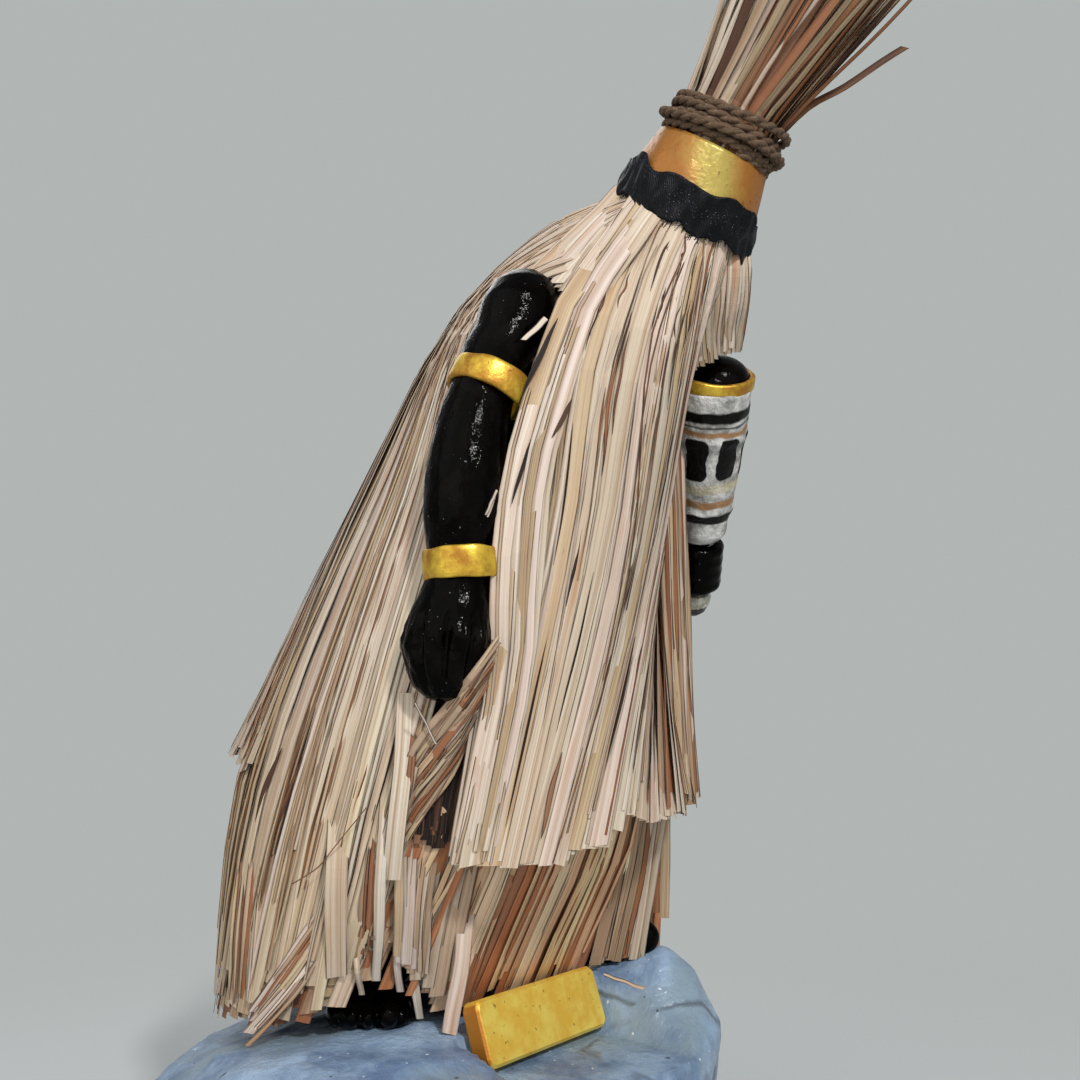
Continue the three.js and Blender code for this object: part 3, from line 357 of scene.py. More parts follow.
def barrel_material():
    """Rough white paint with the bands and blocks that are painted round the barrel."""
    m = Nodes("scepter_paint")
    at = m.place()
    parts = m.node("ShaderNodeSeparateXYZ", {"Vector": m.uv("wrap")})

    def shaky(output, scale, detail, amount):
        shake = m.math("MULTIPLY", m.math("SUBTRACT", m.noise(at, scale, detail), 0.5), amount)
        return m.math("ADD", parts.outputs[output], shake)

    up = shaky("Y", 130, 3.0, 2.4)
    turn = shaky("X", 160, 2.0, 0.05)
    cloud = m.noise(at, 210, 4.0, 0.65)
    colour = m.over(rgb(134, 132, 129), cloud, 0.35, 0.66, rgb(212, 210, 206))
    for low, high, paint, strength, soft in BARREL_STRIPES:
        band = m.math("MULTIPLY", m.step(up, low - soft, low + soft), m.step(up, high + soft, high - soft))
        colour = m.blend(m.math("MULTIPLY", band, strength), colour, paint)
    cell = m.math("FRACT", m.math("ADD", m.math("MULTIPLY", turn, BARREL_BLOCKS), BLOCK_START))
    corner = [m.math("POWER", m.math("DIVIDE", m.off(value, middle), half), BLOCK_CORNER)
              for value, (middle, half) in ((cell, BLOCK_ACROSS), (up, BLOCK_UP))]
    colour = m.over(colour, m.math("ADD", *corner), 1.2, 0.8, BARREL_BLACK)
    m.set(Base_Color=colour, Roughness=m.range(cloud, 0.5, 0.3), Specular_IOR_Level=0.14)
    m.set(Normal=m.bump(cloud, 0.8, 0.0016))
    return m.material


# Where the pommel's black tip starts and where it is full, in metres up from the fist
TIP_START = -0.0116
TIP_FULL = -0.0122


def pommel_material():
    """White under the fist and black at the tip."""
    m = Nodes("pommel_paint")
    at = m.place()
    cloud = m.noise(at, 400, 3.0, 0.6)
    along = m.vector("DOT_PRODUCT", at, tuple(SCEPTER_UP))
    along = m.math("SUBTRACT", along, float(FIST @ SCEPTER_UP) * MM)
    along = m.math("ADD", along, m.math("MULTIPLY", cloud, 0.001))
    colour = m.over(rgb(150, 146, 128), cloud, 0.35, 0.66, rgb(214, 212, 196))
    colour = m.over(colour, along, TIP_START, TIP_FULL, rgb(16, 12, 10))
    m.set(Base_Color=colour, Roughness=m.range(cloud, 0.5, 0.3))
    m.set(Normal=m.bump(cloud, 0.5, 0.0008))
    return m.material


def steel_material():
    m = Nodes("steel_wire")
    drawn = m.noise(m.place(), (900, 900, 60), 2.0)
    colour = m.blend(drawn, (0.3, 0.3, 0.31), (0.5, 0.5, 0.51))
    m.set(Base_Color=colour, Metallic=1.0, Roughness=0.35)
    return m.material


# The plaque's end face, below this x, gets painted shade
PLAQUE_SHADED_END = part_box("name_plaque")[0][0] + 0.0003
PAINT = {
    "straw": straw_material(),
    "black_paint": black_material(),
    "gold_paint": gold_material("gold_paint"),
    "plaque_gold": gold_material("plaque_gold", (255, 224, 102), (242, 194, 70), (0.54, 0.4), PLAQUE_SHADED_END),
    "collar_gold": collar_material(),
    "rock_paint": rock_material(),
    "twine": twine_material(),
    "black_satin": satin_material(),
    "white_paint": barrel_material(),
    "pommel": pommel_material(),
    "steel_wire": steel_material(),
}


# Meshes
def quad_mesh(name, points, quads, paint, replaces=(), shade=True):
    """A piece of quads, with points in millimetres, that rides on the only body."""
    mesh = bpy.data.meshes.new(name)
    points = np.asarray(points, np.float64).reshape(-1, 3)
    quads = np.asarray(quads, np.int32).reshape(-1, 4)
    mesh.vertices.add(len(points))
    mesh.vertices.foreach_set("co", (points * MM).astype(np.float32).ravel())
    mesh.loops.add(quads.size)
    mesh.loops.foreach_set("vertex_index", quads.ravel())
    mesh.polygons.add(len(quads))
    mesh.polygons.foreach_set("loop_start", np.arange(0, quads.size, 4, dtype=np.int32))
    mesh.polygons.foreach_set("use_smooth", np.full(len(quads), shade))
    mesh.update(calc_edges=True)
    mesh.materials.append(PAINT[paint])
    piece = bpy.data.objects.new(name, mesh)
    bpy.context.scene.collection.objects.link(piece)
    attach(piece, "root")
    if replaces:
        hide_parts(*replaces)
    return piece


def point_attribute(piece, name, kind, values):
    made = piece.data.attributes.new(name, kind, "POINT")
    key = {"FLOAT": "value", "FLOAT_COLOR": "color", "FLOAT_VECTOR": "vector"}[kind]
    made.data.foreach_set(key, np.asarray(values, np.float32).ravel())


def uv_map(piece, name, per_corner):
    made = piece.data.uv_layers.new(name=name)
    made.data.foreach_set("uv", np.asarray(per_corner, np.float32).ravel())


def grid_quads(rows, cols, wrap):
    """Quads of a grid of points, whose columns close on themselves if wrap is set."""
    j, i = np.meshgrid(np.arange(rows - 1), np.arange(cols if wrap else cols - 1), indexing="ij")
    k = (i + 1) % cols
    return np.stack([j * cols + i, j * cols + k, (j + 1) * cols + k, (j + 1) * cols + i], -1).reshape(-1, 4)


def grid_corners(rows, cols):
    """Column and row numbers of the corners of a grid of faces, face by face."""
    j, i = np.meshgrid(np.arange(rows), np.arange(cols), indexing="ij")
    corners = [np.stack([i + x, j + y], -1) for x, y in ((0, 0), (1, 0), (1, 1), (0, 1))]
    return np.stack(corners, 2).reshape(-1, 2)


def strip_quads(count, steps, flip=False):
    """Walls and ends of closed strips with four corners to a section."""
    strip = np.arange(count)[:, None, None] * steps * 4
    j = np.arange(steps - 1)[None, :, None] * 4
    k = np.arange(4)[None, None]
    n = (k + 1) % 4
    walls = [strip + j + k, strip + j + 4 + k, strip + j + 4 + n, strip + j + n]
    walls = np.stack(np.broadcast_arrays(*walls), -1).reshape(-1, 4)
    start = strip[:, 0] + np.array([0, 1, 2, 3])
    end = strip[:, 0] + (steps - 1) * 4 + np.array([3, 2, 1, 0])
    if flip:
        walls = walls[:, [0, 3, 2, 1]]
        start, end = start[:, ::-1], end[:, ::-1]
    return np.concatenate([walls, start, end])


def fuse(piece, voxel, rounds):
    """Runs a mesh together into one skin of even small faces, and smooths it."""
    even = piece.modifiers.new("even", "REMESH")
    even.mode = "VOXEL"
    even.voxel_size = voxel * MM
    even.use_smooth_shade = True
    relax = piece.modifiers.new("relax", "SMOOTH")
    relax.iterations = rounds


def thicken(piece, thick):
    made = piece.modifiers.new("thick", "SOLIDIFY")
    made.thickness = thick * MM
    made.offset = -1


# Straw: thin closed strips, four corners to a section, arched a little over their width
STRIP_RISE = (0.06, 0.13)
STRIP_ARCH = 0.015
STRIP_UNDER = 0.35
END_LEVEL = 0.85
END_RAGGED = 0.12
BAKE_INSET = 0.06
BAKE_FOOT, BAKE_TALL = 0.02, 0.94
BAKE_CAPS_UP = 0.975
BAKE_CAP = np.array([0.3, 0.008])


class Strips:
    """Collects strips of straw, and makes them into one piece."""

    def __init__(self, steps, seed):
        self.steps = steps
        self.rng = np.random.default_rng(seed)
        self.parts = []

    def add(self, path, side, half, tint):
        """path, side and tint are (strips, steps, 3), and half is (strips, steps)."""
        self.parts.append((path, side, half, tint))

    def build(self, name, replaces):
        path, side, half, tint = (np.concatenate(x) for x in zip(*self.parts))
        count, steps = path.shape[:2]
        along = unit(np.gradient(path, axis=1))
        side = unit(side - along * np.sum(side * along, -1, keepdims=True))
        out = np.cross(along, side)
        wide = half[..., None]
        rise = self.rng.uniform(*STRIP_RISE, (count, 1, 1)) + STRIP_ARCH * wide
        under = path - out * rise * STRIP_UNDER
        corners = np.stack([path - side * wide, path + out * rise, path + side * wide, under], 2)
        cut = along[:, -1] * self.end_skew(along[:, -1, 2:], side[:, -1, 2:], half[:, -1:])
        corners[:, -1, 0] += cut
        corners[:, -1, 2] -= cut
        piece = quad_mesh(name, corners, strip_quads(count, steps), "straw", replaces, shade=False)
        walk = np.cumsum(np.linalg.norm(np.diff(path, axis=1), axis=-1), 1)
        length = np.concatenate([np.zeros((count, 1)), walk], 1)
        lot = self.rng.uniform(0, 400, count)[:, None, None]
        across = np.stack([-half, half * 0, half, half * 0], -1)
        grain = np.stack(np.broadcast_arrays(across + lot, length[..., None] + 7 * lot, lot), -1)
        point_attribute(piece, "grain", "FLOAT_VECTOR", grain)
        point_attribute(piece, "rim", "FLOAT", np.stack([half * 0, half, half * 0, half], -1))
        colour = np.ones((*across.shape, 4))
        colour[..., :3] = tint[:, :, None]
        point_attribute(piece, "tint", "FLOAT_COLOR", colour)
        self.bake_map(piece, count, float(length[:, -1].mean()), float(half.mean()))

    def end_skew(self, fall, slope, half):
        """How far the cut at a strip's end runs askew, so that most ends lie level."""
        level = slope / np.where(fall < 0, -1, 1) / np.maximum(np.abs(fall), 0.3)
        return (END_LEVEL * np.clip(level, -1, 1) + self.rng.normal(0, END_RAGGED, fall.shape)) * half

    def bake_map(self, piece, count, length, half):
        """One upright cell to a strip, with its upper and lower faces side by side."""
        steps = self.steps
        cols = max(1, round(math.sqrt(count * length / (4.4 * half))))
        rows = math.ceil(count / cols)
        cell = np.array([1 / cols, 1 / rows])
        corner = np.stack([np.arange(count) % cols, np.arange(count) // cols], -1) * cell
        across = BAKE_INSET + (1 - 2 * BAKE_INSET) * np.arange(5) / 4
        up = BAKE_FOOT + BAKE_TALL * np.arange(steps) / (steps - 1)
        j = np.arange(steps - 1)[:, None]
        k = np.arange(4)[None, :]
        wall = [np.stack(np.broadcast_arrays(across[k + x], up[j + y]), -1)
                for x, y in ((0, 0), (0, 1), (1, 1), (1, 0))]
        walls = corner[:, None, None, None] + np.stack(wall, 2)[None] * cell
        cap = np.array([[0, 0], [1, 0], [1, 1], [0, 1]]) * BAKE_CAP
        caps = [corner[:, None] + (np.array([left, BAKE_CAPS_UP]) + cap) * cell for left in (BAKE_INSET, 0.5)]
        uv_map(piece, "OFBake", np.concatenate([part.reshape(-1, 2) for part in (walls, *caps)]))


# Tints of straw, and mixtures of them with a weight for each
CREAM, PINK, SAND = rgb(217, 205, 188), rgb(212, 196, 183), rgb(204, 187, 166)
HONEY, TAN, BROWN = rgb(198, 177, 146), rgb(182, 157, 132), rgb(142, 103, 79)
# The last of these is near-black: painted shadow for the gaps between strips and behind the hand
RUST, UMBER, SHADOW_BROWN = rgb(160, 109, 77), rgb(84, 56, 43), rgb(24, 14, 10)
PALE = ([CREAM, PINK, SAND, HONEY, TAN], [5, 3.6, 3.4, 1.5, 0.7])
MIXED = ([CREAM, PINK, SAND, HONEY, TAN, RUST], [3, 3, 3, 2, 2, 0.4])
WARM = ([PINK, SAND, HONEY, TAN, RUST], [1, 2, 3, 3, 1.2])
EARTH = ([SAND, HONEY, TAN, BROWN, RUST], [1, 2, 4, 3, 2])
# Darker tints for the tuft's side away from the light: painted shade
TUFT_SHADE = ([HONEY, TAN, BROWN, RUST, UMBER], [2, 3, 2, 2, 0.8])
# Darker tints for the inner layers under the outer straw: painted shade
SHADED_INNER = ([TAN, BROWN, RUST, UMBER], [1, 3, 1, 3])
BRIGHT = ([CREAM, PINK, SAND, HONEY], [8, 4, 2.4, 0.8])
SHADED = ([RUST, BROWN, TAN, UMBER, SHADOW_BROWN], [3, 2, 2, 1, 1])
# Tints for painted shade in the gaps where strips part
GAP_SHADE = ([UMBER, SHADOW_BROWN, RUST], [2, 2, 1])
PAST_EDGE = ([TAN, RUST, HONEY], [2, 1, 2])
FAR_EDGE = ([RUST, BROWN, TAN], [3, 1, 1])
BELOW_EDGE = ([PINK, HONEY, TAN, RUST], [2, 2, 2, 1])
BELOW_FINE = ([RUST, UMBER, CREAM], [2, 1, 1])
# Dark tints as painted shadow behind the hand
HAND_SHADOW = ([SHADOW_BROWN, UMBER, BROWN], [3, 3, 1])
HANDLED = ([PINK, SAND, HONEY, TAN, BROWN], [2, 2, 2, 3, 1])
SWEPT = ([PINK, HONEY, TAN, RUST, BROWN], [1, 2, 3, 0.8, 1])


def pick_tints(rng, count, colours, weights):
    """Tints drawn from a mixture, each a little lighter, darker and off in hue."""
    chosen = np.array(colours)[rng.choice(len(colours), count, p=np.array(weights) / sum(weights))]
    return np.clip(chosen * rng.uniform(0.9, 1.05, (count, 1)) * rng.uniform(0.98, 1.02, (count, 3)), 0, 1)


def straw_point(ring, d, out):
    """A point on a ring of straw: degrees from 0 at the front through 90 at the figure's left."""
    d = ring["turn"](d) if "turn" in ring else d
    t = d * RAD
    tilt = ring.get("tilt", 0) * RAD
    bulge = 1 + (ring["shape"](d) if "shape" in ring else 0)
    deep = np.where(np.cos(t) > 0, ring["front"], ring["back"])
    u = np.sin(t) * (ring["side"] * bulge + out)
    v = -np.cos(t) * (deep * bulge + out)
    push_x, push_y, push_at, push_wide = ring.get("push", (0, 0, 0, 1))
    near = bell(turn_near(d, push_at), push_wide)
    lift = ring["lift"](d) if "lift" in ring else 0
    y = ring["y"] + v * np.cos(tilt) + push_y * near
    return np.stack([u + push_x * near, y, ring["z"] + v * np.sin(tilt) + lift], -1)


def oval(y, up, tilt, front, back, side, **more):
    """An oval of straw at a height above the deck, with its own radius to the front, back and sides."""
    return {"y": y, "z": DECK + up, "tilt": tilt, "front": front, "back": back, "side": side, **more}


def head_ring(s, r):
    at = HEAD_AT + HEAD_UP * s
    return oval(at[1], at[2] - DECK, HEAD_TILT / RAD, r, r, r)


def dent(depth, at):
    """A hollow in a ring, as a share of its radius, about some degrees."""
    return lambda d: -depth * bell(turn_near(d, at), 36)


def skirt_lift(d):
    """The hem rises over both feet and hangs lower at the back."""
    return 11 * bell(turn_near(d, 54), 20) + 9 * bell(turn_near(d, 310), 15) - 5 * bell(turn_near(d, 195), 75)


def skirt_turn(d):
    """The straw at the front of the skirt swings a little to the figure's left on its way down."""
    return d + 12 * bell(turn_near(d, 12), 42)


# Rings that the straw hangs through, and the degrees of each that it covers
TOP_RINGS = [head_ring(2.6, 16.1), head_ring(-4.2, 16.1)]
FRONT_RINGS = TOP_RINGS + [
    oval(-69.4, 184, 30, 20.4, 20, 19.8, shape=dent(0.15, 34)),
    oval(-56, 166.5, 25, 32, 26.5, 28, shape=dent(0.73, 34)),
    oval(-25, 119.5, 12, 45, 40.5, 43, shape=dent(0.18, 42)),
    oval(-5, 51, 13.5, 60, 65, 51, push=(9, -9, 46, 32)),
]
FRONT_ARCS = np.array([[-99, 82], [-99, 82], [-98, 79], [-88, 74], [-57, 72], [-55, 20]], float)
FAR_ARCS = np.array([[50, 84], [50, 84], [48, 79], [44, 72], [26, 62], [8, 70]], float)
FAR_INSET = np.array([0, 0, 0, 0, 0.5, -2.0])
BACK_RINGS = TOP_RINGS + [
    oval(-62, 184, 30, 22, 22.5, 21.5),
    oval(-54, 169.5, 25, 32, 31.5, 31),
    oval(-25, 119.5, 12, 45, 38.5, 42),
    oval(-5, 51, 13.5, 60, 63, 49.5),
]
BACK_ARCS = np.array([[98, 272], [98, 272], [108, 284], [118, 257], [103, 268], [92, 283]], float)
BACK_SPAN = (0.0, 0.8)
SKIRT_RINGS = [
    oval(-23.7, 106, 0, 17.1, 17.1, 19.8),
    oval(-20.8, 98, 0, 18.6, 18.6, 20.5),
    oval(-9, 62, 0, 43, 54, 44, push=(6, -6, 45, 34)),
    oval(13, 1.5, 0, 37, 42, 47, push=(18, -26, 50, 21), lift=skirt_lift, turn=skirt_turn),
]
SKIRT_ARCS = np.array([[0, 360]] * 4, float)
SIDE_RINGS = BACK_RINGS[1:] + SKIRT_RINGS[3:]
SIDE_ARCS = np.array([[238, 274], [232, 284], [222, 259], [232, 292], [238, 291], [230, 304]], float)
SIDE_INSET = np.array([0, 0, 0, -1.5, -1, 0.6])


def through_rings(points, levels):
    """A smooth line through one point per ring, read at ring numbers."""
    last = points.shape[1] - 1
    chord = np.linalg.norm(np.diff(points, axis=1), axis=-1)
    slope = np.zeros_like(points)
    step = np.diff(points, axis=1) / np.maximum(chord, 1e-6)[..., None]
    weight = chord[:, :-1, None] / (chord[:, :-1] + chord[:, 1:])[..., None]
    slope[:, 1:-1] = step[:, :-1] * (1 - weight) + step[:, 1:] * weight
    slope[:, 0] = step[:, 0]
    slope[:, -1] = step[:, -1]
    k = np.clip(np.floor(levels).astype(int), 0, last - 1)
    t = (levels - k)[..., None]
    row = np.arange(len(points))[:, None]
    length = chord[row, k][..., None]
    p0, p1 = points[row, k], points[row, k + 1]
    m0, m1 = slope[row, k] * length, slope[row, k + 1] * length
    bent = (2 * t**3 - 3 * t**2 + 1) * p0 + (t**3 - 2 * t**2 + t) * m0
    bent = bent + (3 * t**2 - 2 * t**3) * p1 + (t**3 - t**2) * m1
    return np.where(t > 1, p1 + (t - 1) * m1, bent)


def wander(rng, count, steps, amount):
    """A slow sideways drift for each strip, nothing at its upper end."""
    t = np.linspace(0, 1, steps)[None]
    turns = rng.uniform(0.6, 2.2, (count, 1)) * TURN
    start = rng.uniform(0, TURN, (count, 1))
    return rng.normal(0, amount, (count, 1)) * np.sin(turns * t + start) * smooth(t, 0, 0.35)


def lay(strips, path, side, widths, tints, roll=4.0, drift=0.5, taper=0.85, pointed=False):
    """Turns and shakes strips a little about their lines, and adds them."""
    rng = strips.rng
    count, steps = path.shape[:2]
    along = unit(np.gradient(path, axis=1))
    span = np.linspace(-1, 1, steps)[None, :, None]
    turn = (rng.normal(0, roll, (count, 1, 1)) + rng.normal(0, roll * 0.6, (count, 1, 1)) * span) * RAD
    side = side * np.cos(turn) + np.cross(along, side) * np.sin(turn)
    path = path + side * wander(rng, count, steps, drift)[..., None]
    fade = mix(1.0, rng.uniform(taper, 1.0, (count, 1)), np.linspace(0, 1, steps)[None] ** 3)
    if pointed:
        fade = np.broadcast_to(np.sin(math.pi * np.linspace(0.02, 0.98, steps)[None]) ** 0.8, fade.shape)
    if tints.ndim == 2:
        tints = np.broadcast_to(tints[:, None], path.shape)
    strips.add(path, side, widths[:, None] / 2 * fade, tints)


def hang(strips, rings, arcs, shares, widths, outs, ends, tints, sway=0.012, start=0.0, inset=0.0, shade=None,
         **more):
    """Strips that hang through rings at shares of the arcs, from ring number start to ring numbers ends."""
    count = len(shares)
    down = np.linspace(0, 1, len(rings))[None]
    swing = strips.rng.normal(0, sway, (count, 1)) * down**1.5
    degrees = mix(arcs[:, 0][None], arcs[:, 1][None], shares[:, None] + swing)
    spread = np.linspace(0.25, 1, len(rings))[None] * outs[:, None] + inset
    levels = mix(start, np.asarray(ends)[:, None], np.linspace(0, 1, strips.steps)[None])

    def line(shift):
        rows = [straw_point(r, degrees[:, k] + shift, spread[:, k]) for k, r in enumerate(rings)]
        return through_rings(np.stack(rows, 1), levels)

    if shade is not None:
        tints = np.clip(tints[:, None] * shade(degrees[:, -1:], levels), 0, 0.85)
    lay(strips, line(0.0), unit(line(1.0) - line(-1.0)), widths, tints, **more)


def layer(strips, rings, arcs, count, width, out, ends, tints, span=(0.0, 1.0), even=True, **more):
    """One layer of strips over a span of the arcs. ends gives ring numbers from the last ring's degrees."""
    rng = strips.rng
    spots = (np.arange(count) + rng.uniform(0.1, 0.9, count)) / count if even else rng.uniform(0, 1, count)
    shares = mix(*span, spots)
    hang(strips, rings, arcs, shares, rng.uniform(*width, count), rng.uniform(*out, count),
         ends(mix(*arcs[-1], shares), rng), pick_tints(rng, count, *tints), **more)


def wisps(strips, rings, arcs, bunches, each, out, ends, tints, spread=0.012, span=(0.0, 1.0), **more):
    """Bunches of fine strands that lie close together."""
    rng = strips.rng
    for share in rng.uniform(*span, bunches):
        shares = share + rng.normal(0, spread, each)
        hang(strips, rings, arcs, shares, rng.uniform(0.5, 1.3, each), rng.uniform(*out, each),
             ends(mix(*arcs[-1], shares), rng), pick_tints(rng, each, *tints), sway=0.01, **more)


def ragged(base, least, most):
    """Ends at a ring number, or at one that depends on the degrees, with ragged lengths."""
    def ends(degrees, rng):
        middle = base(degrees) if callable(base) else base
        return middle + rng.uniform(least, most, len(degrees))
    return ends


# Slivers are rows of: share of the arcs, first and last ring number, width, tint
def slivers(strips, rings, arcs, rows, **more):
    """Single narrow strips, pointed at both ends; the dark ones are painted shade in the gaps between the
    others.
    """
    for share, first, last, width, tint in rows:
        one = (np.array([value]) for value in (share, width, 0.85, last, tint))
        hang(strips, rings, arcs, *one, sway=0.0, start=first, drift=0.2, roll=1, pointed=True, **more)


def slits(strips, rings, arcs, firsts, count, **more):
    """Fine dark lines, painted shade where the strips part, from each of some ring numbers down."""
    for first in firsts:
        layer(strips, rings, arcs, count, (0.25, 0.6), (0.7, 0.95), ragged(first, 0.35, 0.9), GAP_SHADE,
              even=False, start=first, drift=0.3, roll=1, pointed=True, **more)


# Directions that loose strips lie flat to
OUT_NEAR = (-0.8, -0.6, 0.1)
OUT_SHOULDER = (-0.8, -0.4, 0.4)
OUT_ROCK = (-0.7, -0.5, 0.5)


def strand(strips, points, width, tint, out=OUT_NEAR, tuck=0.0, **more):
    """One loose strip along points, lying flat to the direction out, its upper end tucked under the straw."""
    rows = np.array(points, float)[None]
    rows[:, 0] -= tuck * np.array(out)
    path = through_rings(rows, np.linspace(0, rows.shape[1] - 1, strips.steps)[None])
    side = unit(np.cross(unit(np.gradient(path, axis=1)), np.array(out, float)))
    lay(strips, path, side, np.array([width]), np.array([tint]), roll=3, drift=0.1, **more)


def strands(strips, rows, **more):
    """Loose strips, each a row of its readings, its width and its tint."""
    for readings, width, tint in rows:
        strand(strips, seen_at(readings), width, tint, **more)


def between(strips, lines, count, width, tints, shortest=1.0, out=OUT_NEAR, tuck=0.0):
    """Strips side by side between two lines of readings, the last stretch of each of its own length."""
    rng = strips.rng
    left, right = seen_at(lines)
    for share in (np.arange(count) + rng.uniform(0, 1, count)) / count:
        line = mix(left, right, share)
        line[-1] = mix(line[-2], line[-1], rng.uniform(shortest, 1.0))
        line = line + rng.normal(0, 0.25, line.shape)
        strand(strips, line, rng.uniform(*width), pick_tints(rng, 1, *tints)[0], out, tuck)


# The front of the cape: two lines of readings for each lot of straw that lies between them
OVER_ARM = [
    [(640, 190, 296), (620, 220, 289.5), (604, 245, 287.5), (570, 290, 285.5), (534, 378, 279.5),
     (508, 470, 275.5), (498, 577, 272), (495, 660, 272.5), (478, 765, 272), (454, 863, 271)],
    [(662, 202, 293), (646, 226, 287), (632, 245, 286), (602, 292, 286), (564, 395, 282),
     (547, 465, 280.5), (535, 560, 278), (527, 660, 276), (508, 765, 274), (488, 863, 272)],
]
PAST_SCEPTER = [
    [(690, 222, 293), (688, 262, 290.5), (687, 300, 292.5), (689, 340, 298), (692, 373, 303.5)],
    [(742, 238, 305), (750, 262, 303), (748, 300, 306), (743, 328, 310), (739, 352, 313)],
]
BELOW_SCEPTER = [
    [(658, 400, 312), (663, 510, 315), (667, 620, 319), (672, 720, 321), (678, 806, 322)],
    [(679, 412, 319), (683, 520, 321), (687, 620, 325), (691, 720, 326), (697, 806, 327)],
]
SHOULDER = [
    [(620, 180, 300), (588, 219, 296), (536, 268, 294)],
    [(640, 196, 296), (606, 238, 291), (566, 292, 289)],
]
# Dark strands as painted shadow in the gaps of the straw beside the arm
ARM_GAP_SHADOWS = [
    ([(558, 318, 282), (545, 345, 280), (533, 372, 278.5), (522, 394, 278)], 1.3, SHADOW_BROWN),
    ([(572, 399, 281), (563, 418, 280.5), (552, 438, 279.5)], 1.1, UMBER),
    ([(531, 439, 276), (521, 472, 275), (512, 504, 273.5)], 0.9, SHADOW_BROWN),
]
ARM_SPLINTERS = [
    ([(546, 318, 281), (535, 329, 279.5), (524, 340, 278)], 1.4, CREAM),
    ([(497, 490, 272.5), (491, 503, 271), (486, 515, 269.5)], 0.6, CREAM),
    ([(495, 497, 272.5), (491, 508, 271), (488, 517, 269.5)], 0.4, CREAM),
]
FRONT_SLIVERS = [
    (0.09, 3.3, 3.66, 1.5, BROWN), (0.2, 3.1, 3.7, 0.8, RUST), (0.215, 3.0, 3.5, 0.6, BROWN),
    (0.185, 3.3, 3.85, 0.7, RUST), (0.17, 3.96, 4.22, 0.8, SHADOW_BROWN), (0.41, 4.28, 4.68, 1.2, SHADOW_BROWN),
    (0.42, 4.34, 4.7, 0.7, CREAM), (0.25, 4.66, 4.92, 1.3, BROWN), (0.68, 4.5, 4.8, 0.8, SHADOW_BROWN),
    (0.73, 4.4, 4.75, 0.7, SHADOW_BROWN), (0.77, 4.55, 4.85, 0.7, BROWN), (0.3, 3.4, 4.0, 0.8, HONEY),
    (0.14, 4.3, 4.9, 0.6, SHADOW_BROWN), (0.33, 4.05, 4.5, 0.6, UMBER), (0.5, 3.9, 4.4, 0.7, RUST),
    (0.06, 4.1, 4.5, 0.6, UMBER), (0.36, 2.6, 3.3, 0.6, UMBER), (0.48, 2.4, 3.2, 0.5, BROWN),
    (0.27, 2.3, 2.9, 0.5, SHADOW_BROWN), (0.55, 4.2, 4.7, 0.6, SHADOW_BROWN), (0.22, 4.1, 4.6, 0.5, SHADOW_BROWN),
    (0.46, 4.0, 4.5, 0.5, SHADOW_BROWN), (0.12, 3.5, 4.1, 0.5, SHADOW_BROWN), (0.6, 4.0, 4.5, 0.5, UMBER),
]
FAR_HEM = 4.86


def front_hem(d):
    slope = 5.04 - 0.0022 * (np.minimum(d, -10) + 55)
    return slope - 0.02 * smooth(d, -29, -26) - 0.05 * smooth(d, -19, -16) - 0.05 * bell(d + 10, 3)


def make_front():
    strips = Strips(18, 11)
    at = (strips, FRONT_RINGS, FRONT_ARCS)
    layer(*at, 34, (4.0, 6.5), (-2.2, -1.4), ragged(front_hem, -0.12, -0.03), SHADED_INNER, span=(0.06, 1.0))
    layer(*at, 34, (2.5, 5.0), (-0.7, -0.3), ragged(front_hem, -0.03, 0.0), MIXED, drift=0.6)
    layer(*at, 22, (4.5, 7.5), (-0.1, 0.3), ragged(front_hem, -0.012, 0.003), PALE, drift=0.6)
    layer(*at, 9, (3.0, 5.5), (0.4, 0.7), ragged(front_hem, -0.015, 0.012), PALE, even=False, drift=0.7)
    wisps(*at, 6, 4, (0.3, 0.8), ragged(front_hem, -0.15, 0.0), WARM, drift=0.6)
    fine = {"even": False, "drift": 0.9, "sway": 0.02}
    layer(*at, 14, (0.5, 1.4), (0.5, 0.9), ragged(front_hem, -0.1, 0.02), MIXED, **fine)
    hairs = {"even": False, "drift": 1.2, "sway": 0.03}
    layer(*at, 8, (0.3, 0.6), (0.8, 1.1), ragged(front_hem, -1.2, 0.0), EARTH, **hairs)
    slivers(*at, FRONT_SLIVERS)
    slits(*at, (1.7, 2.0, 2.4), 14)
    slits(*at, (2.8, 3.4, 4.0), 5)
    between(strips, OVER_ARM, 8, (3.2, 5.2), PALE, tuck=1.6)
    strands(strips, ARM_GAP_SHADOWS, pointed=True)
    between(strips, OVER_ARM, 6, (0.5, 1.2), WARM, tuck=1.4)
    between(strips, PAST_SCEPTER, 18, (1.6, 3.8), PALE, 0.6)
    between(strips, PAST_SCEPTER, 9, (0.6, 1.6), PAST_EDGE, 0.6)
    far = (strips, FRONT_RINGS, FAR_ARCS)
    layer(*far, 14, (3.0, 5.5), (-1.2, -0.6), ragged(FAR_HEM, -0.06, 0.0), WARM, inset=FAR_INSET)
    layer(*far, 12, (2.5, 5.0), (-0.4, 0.6), ragged(FAR_HEM, -0.04, 0.02), MIXED, inset=FAR_INSET)
    wisps(*far, 3, 6, (0.0, 0.8), ragged(FAR_HEM, -0.1, 0.03), FAR_EDGE, inset=FAR_INSET)
    between(strips, BELOW_SCEPTER, 13, (2.0, 3.4), BELOW_EDGE, 0.85)
    between(strips, BELOW_SCEPTER, 5, (0.5, 1.2), BELOW_FINE, 0.8)
    strands(strips, ARM_SPLINTERS)
    between(strips, SHOULDER, 10, (2.4, 4.4), PALE, out=OUT_SHOULDER, tuck=2.2)
    strips.build("cape_front", ["cape_front_straw"])


